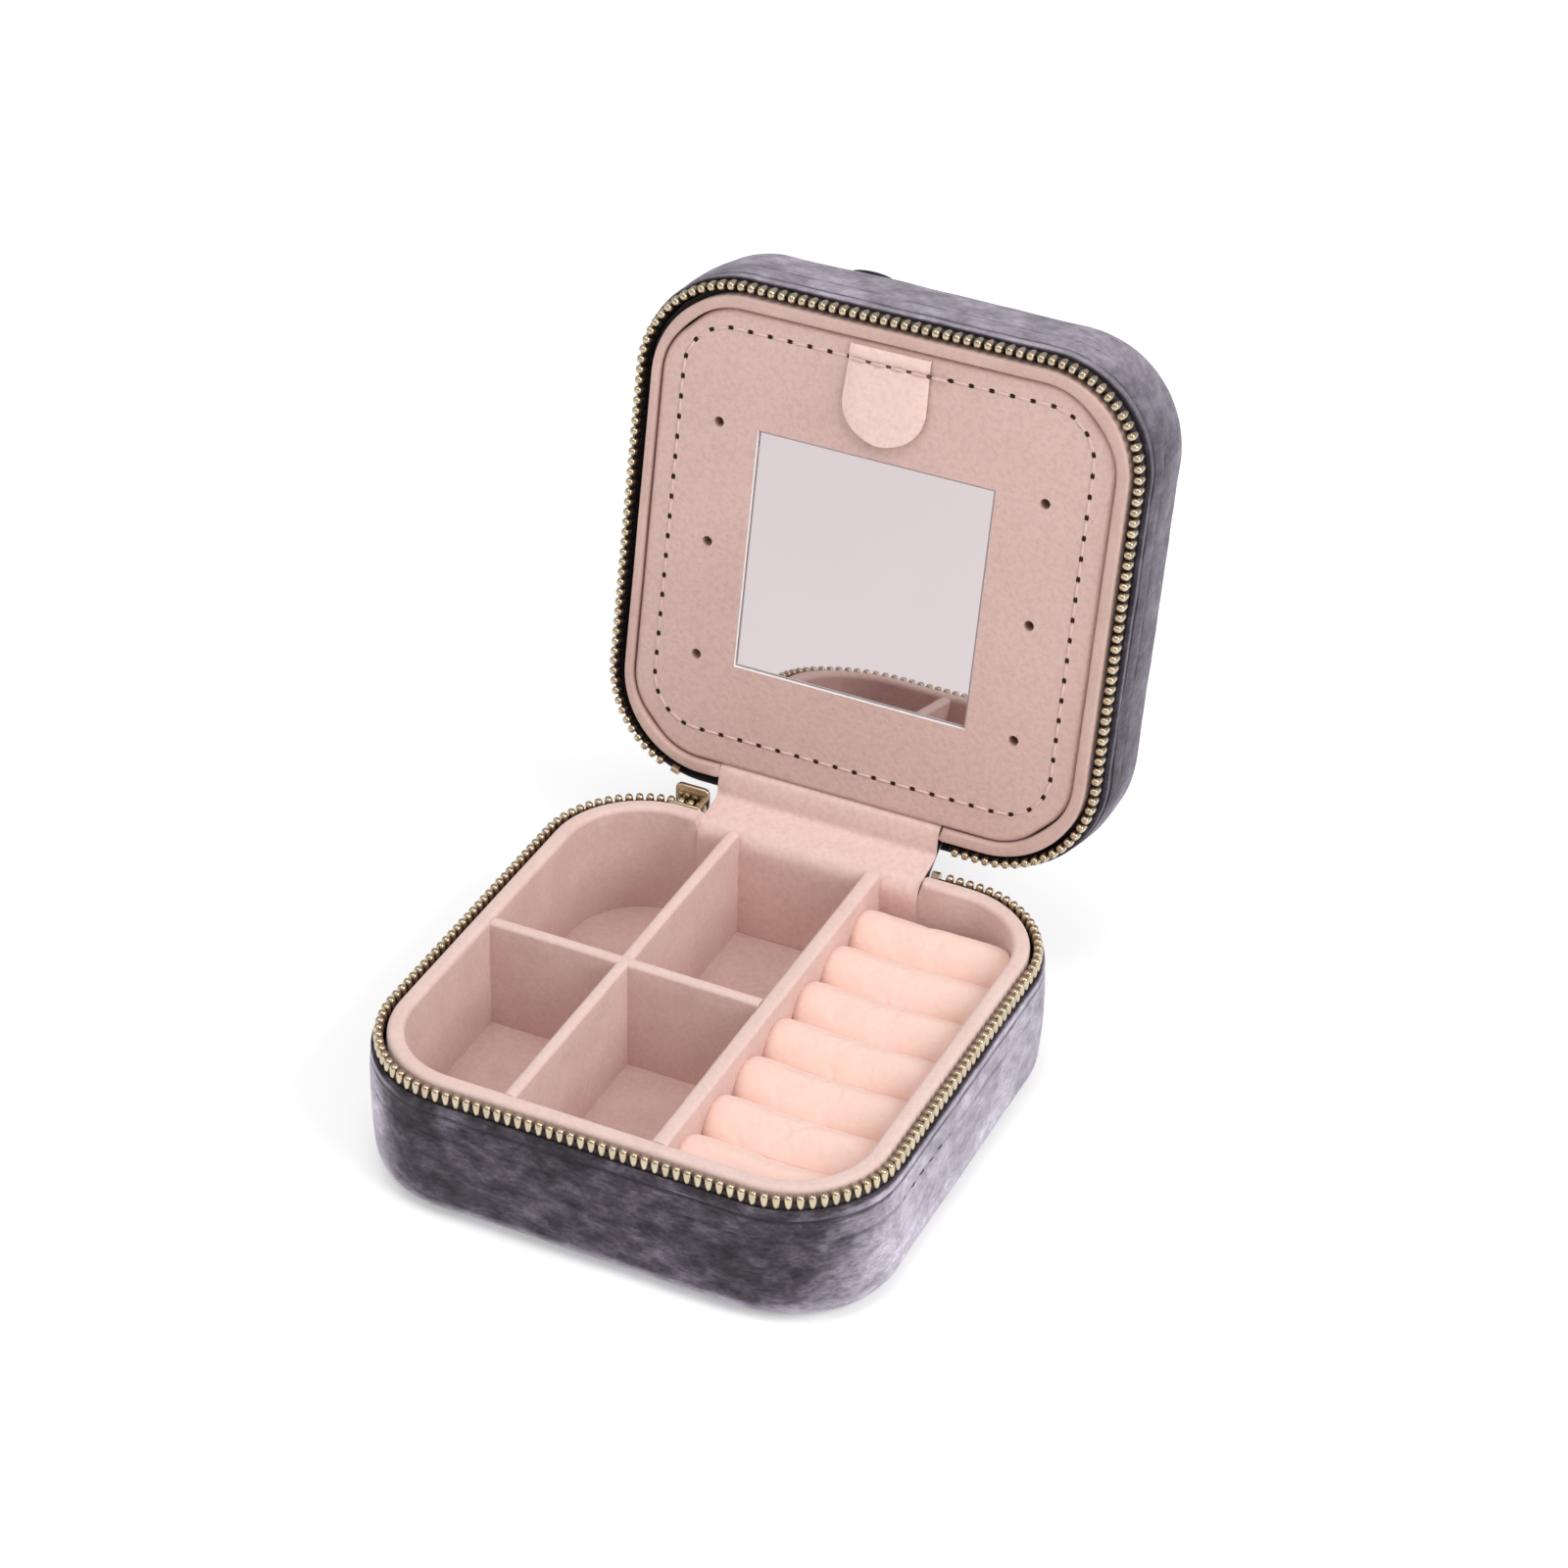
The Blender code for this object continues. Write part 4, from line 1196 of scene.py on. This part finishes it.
def build_hinge():
    """The smooth strip inside and the velvet strip outside, each one piece drawn bent from the base to the
    open lid.
    """
    wall = HALF - BAY_OFFSET + 0.05
    inner = [(wall, 4.9), (wall, 12.0), (wall, 19.0), (wall, 23.4), (wall + 0.5, 25.3), (wall + 1.9, 26.6),
             (47.8, 27.1), (50.2, 27.6)]
    inner += [shut_to_open(y, level) for y, level in ((50.4, 1.0), (48.4, 1.0), (46.2, 1.15), (44.9, 1.55),
                                                      (44.35, 2.6), (44.25, 4.2))]
    build_strip("hinge_strip", inner, 0.5, 4.0, 0.07, STRIP_SKIN,
                ("hinge_lining_base", "hinge_lining_lid"))
    hidden = HALF - 1.55
    outer = [(hidden, 16.0), (hidden, 22.0), (hidden + 0.3, 24.6), (50.2, 26.4)]
    outer += [shut_to_open(y, level)
              for y, level in ((50.3, 1.7), (48.75, 3.4), (hidden, 6.0), (hidden, 12.0))]
    build_strip("hinge_velvet", outer, 0.7, 9.0, 0.12, VELVET,
                ("hinge_cover_base", "hinge_cover_lid"))


# ------------------------ zip slider and small parts
SLIDER_X = -29.0
SLIDER_HALF = 3.5
BAR = (52.6, 26.6)           # y and height of the bail's bar
SLIDER_PLATES = ((46.5, 47.1, 28.1), (49.8, 50.8, 30.0))    # inner and outer: rear, front and top
SLIDER_FOOT = 25.2
PULL_FOOT = 12.0


def tube(bm, path, radius, sides=10, closed=False):
    """A round wire along a path of points."""
    count = len(path)
    rings = []
    up = Vector((0.31, 0.17, 0.94))
    for i, point in enumerate(path):
        after = path[(i + 1) % count] if closed else path[min(count - 1, i + 1)]
        axis = (after - path[i - 1 if closed else max(0, i - 1)]).normalized()
        across = axis.cross(up).normalized()
        other = axis.cross(across)
        rings.append([bm.verts.new(point + (across * math.cos(a) + other * math.sin(a)) * radius)
                      for a in turns(sides)])
    join_rings(bm, rings, closed)


def rounded_oblong(left, right, foot, top, radius, steps=6):
    points = []
    for cx, cz, first in ((right - radius, top - radius, 0), (left + radius, top - radius, 90),
                          (left + radius, foot + radius, 180), (right - radius, foot + radius, 270)):
        points += arc((cx, cz), (radius, radius), first, first + 90, steps)
    return points


def upright_plate(bm, outline, rear, front, edge):
    """A plate with softened edges: an outline of (x, z) carried from y = rear to y = front."""
    centre = centre_of(outline)
    rings = []
    for y, inset in ((rear, edge), (rear + 0.3 * edge, 0.3 * edge), (rear + edge, 0.0),
                     (front - edge, 0.0), (front - 0.3 * edge, 0.3 * edge), (front, edge)):
        spots = [drawn_in(point, centre, inset) for point in outline]
        rings.append([bm.verts.new((spot.x, y, spot.y)) for spot in spots])
    join_rings(bm, rings)


def build_slider():
    """Slider with rounded plates, a post between the chains and a wire bail."""
    left, right = SLIDER_X - SLIDER_HALF, SLIDER_X + SLIDER_HALF
    bm = bmesh.new()
    for rear, front, top in SLIDER_PLATES:
        upright_plate(bm, rounded_oblong(left, right, SLIDER_FOOT, top, 1.1), rear, front, 0.28)
    post = rounded_oblong(right - 0.9, right - 0.02, PARTING - 0.15, PARTING + 0.8, 0.3, 3)
    upright_plate(bm, post, SLIDER_PLATES[0][1] - 0.1, SLIDER_PLATES[1][1] - 0.3, 0.05)
    root, bend = SLIDER_PLATES[1][1] - 0.2, 0.7
    bail = [(left + 1.2, root)] + arc((left + 1.2 + bend, BAR[0] - bend), (bend, bend), 180.0, 90.0, 5)
    bail += arc((right - 1.2 - bend, BAR[0] - bend), (bend, bend), 90.0, 0.0, 5) + [(right - 1.2, root)]
    tube(bm, [Vector((x, y, BAR[1])) for x, y in bail], 0.43)
    add_piece("slider_body", bm, "zip_slider", "brass", BRASS, 45.0, "zip_slider")


def build_pull():
    """A leaf-shaped pull that hangs on the slider's bail by three turns of wire."""
    bm = bmesh.new()
    for x in (-0.7, 0.0, 0.7):
        ring = [Vector((SLIDER_X + x, BAR[0] + 1.07 * math.cos(a), BAR[1] + 1.07 * math.sin(a)))
                for a in turns(20)]
        tube(bm, ring, 0.33, 8, closed=True)
    top = BAR[1] - 1.2
    side = [(0.9, top), (1.2, top - 2.0), (1.55, top - 5.0), (1.9, top - 8.0), (2.15, top - 10.5),
            (2.0, PULL_FOOT + 1.5), (1.4, PULL_FOOT + 0.5), (0.5, PULL_FOOT + 0.02)]
    right, left = ([(SLIDER_X + way * half, z) for half, z in side] for way in (1, -1))
    leaf = right[:1] + left + right[:0:-1]
    upright_plate(bm, leaf, BAR[0] - 0.4, BAR[0] + 0.4, 0.18)
    add_piece("slider_tongue", bm, "zip_pull", "brass", BRASS, 45.0, "zip_pull")


def build_lid_loop():
    """A small dark cloth loop on the lid's back, near its front edge."""
    bm = bmesh.new()
    path = [Vector((x, 2.0 - HALF - rise, PARTING + LID_DEPTH - 1.2))
            for x, rise in arc((-13.8, 0.0), (4.6, 1.25), 180.0, 0.0, 16)]
    tube(bm, path, 0.34, 8)
    add_piece("lid_loop", bm, "lid", "velvet", DARK_THREAD, 60.0)


# ------------------------ stage
CAMERA_AZIMUTH = 24.77
CAMERA_ELEVATION = 34.2
CAMERA_ROLL = math.radians(1.32)
CAMERA_DISTANCE = 722.0 * MM
CAMERA_TARGET = Vector((5.75, 7.42, 69.86)) * MM
CAMERA_LENS = 96.3
CAMERA_SHIFT = (0.0117, -0.0076)


def look_from(azimuth, elevation):
    """Direction from the case to a viewer or a light; azimuth 0 is in front and 90 on the right."""
    a, e = math.radians(azimuth), math.radians(elevation)
    return Vector((math.sin(a) * math.cos(e), -math.cos(a) * math.cos(e), math.sin(e)))


def build_camera():
    back = look_from(CAMERA_AZIMUTH, CAMERA_ELEVATION)
    right = (-back).cross(Vector((0.0, 0.0, 1.0))).normalized()
    up = right.cross(-back)
    rolled = right * math.cos(CAMERA_ROLL) + up * math.sin(CAMERA_ROLL)
    rolled_up = up * math.cos(CAMERA_ROLL) - right * math.sin(CAMERA_ROLL)
    data = bpy.data.cameras.new("camera")
    data.sensor_width = 36.0
    data.lens = CAMERA_LENS
    data.shift_x, data.shift_y = CAMERA_SHIFT
    data.clip_start = 0.01
    camera = add_object("camera", data)
    turn = Matrix((rolled, rolled_up, back)).transposed().to_4x4()
    camera.matrix_world = Matrix.Translation(CAMERA_TARGET + back * CAMERA_DISTANCE) @ turn
    bpy.context.scene.camera = camera


def add_light(name, azimuth, elevation, distance, size, power):
    """A square soft light that looks at the case."""
    data = bpy.data.lights.new(name, 'AREA')
    data.size = size
    data.energy = power
    light = add_object(name, data)
    away = look_from(azimuth, elevation)
    light.location = Vector((0.0, 0.0, 0.05)) + away * distance
    light.rotation_euler = away.to_track_quat('Z', 'Y').to_euler()


def build_stage():
    """A white paper floor that glows a little, an even backdrop and three soft lights."""
    bm = bmesh.new()
    bmesh.ops.create_grid(bm, x_segments=1, y_segments=1, size=4.0)
    floor = add_object("floor", mesh_from(bm, "floor"))
    floor.location.z = -0.0002
    paper = plain_material("floor_paper", (0.93, 0.93, 0.93), (0.92, 0.92, 0.92), 0.9, 8.0)
    glow = paper.node_tree.nodes["Principled BSDF"].inputs
    glow["Emission Color"].default_value = (1.0, 1.0, 1.0, 1.0)
    glow["Emission Strength"].default_value = 0.3
    floor.data.materials.append(paper)
    backdrop = bpy.data.worlds.new("studio")
    backdrop.use_nodes = True
    sky = backdrop.node_tree.nodes["Background"].inputs
    sky["Color"].default_value = (1.0, 0.99, 0.985, 1.0)
    sky["Strength"].default_value = 0.52
    bpy.context.scene.world = backdrop
    add_light("key", 78.0, 36.0, 1.1, 0.6, 6.5)
    add_light("top", -25.0, 76.0, 1.2, 0.8, 4.6)
    add_light("fill", -50.0, 30.0, 1.4, 0.9, 0.8)
    bpy.context.scene.view_settings.view_transform = 'Standard'


# ------------------------ everything
build_camera()
build_stage()
for bound_node in ("base_shell", "lid_shell"):
    set_material(bound_node, TAPE)
set_material("lid_pad", BOARD)
build_covers()
build_zips()
build_linings()
build_floor()
build_dividers()
for roll_number in range(1, ROLLS + 1):
    build_roll(roll_number)
build_panel()
build_tab()
build_hinge()
build_slider()
build_pull()
build_lid_loop()
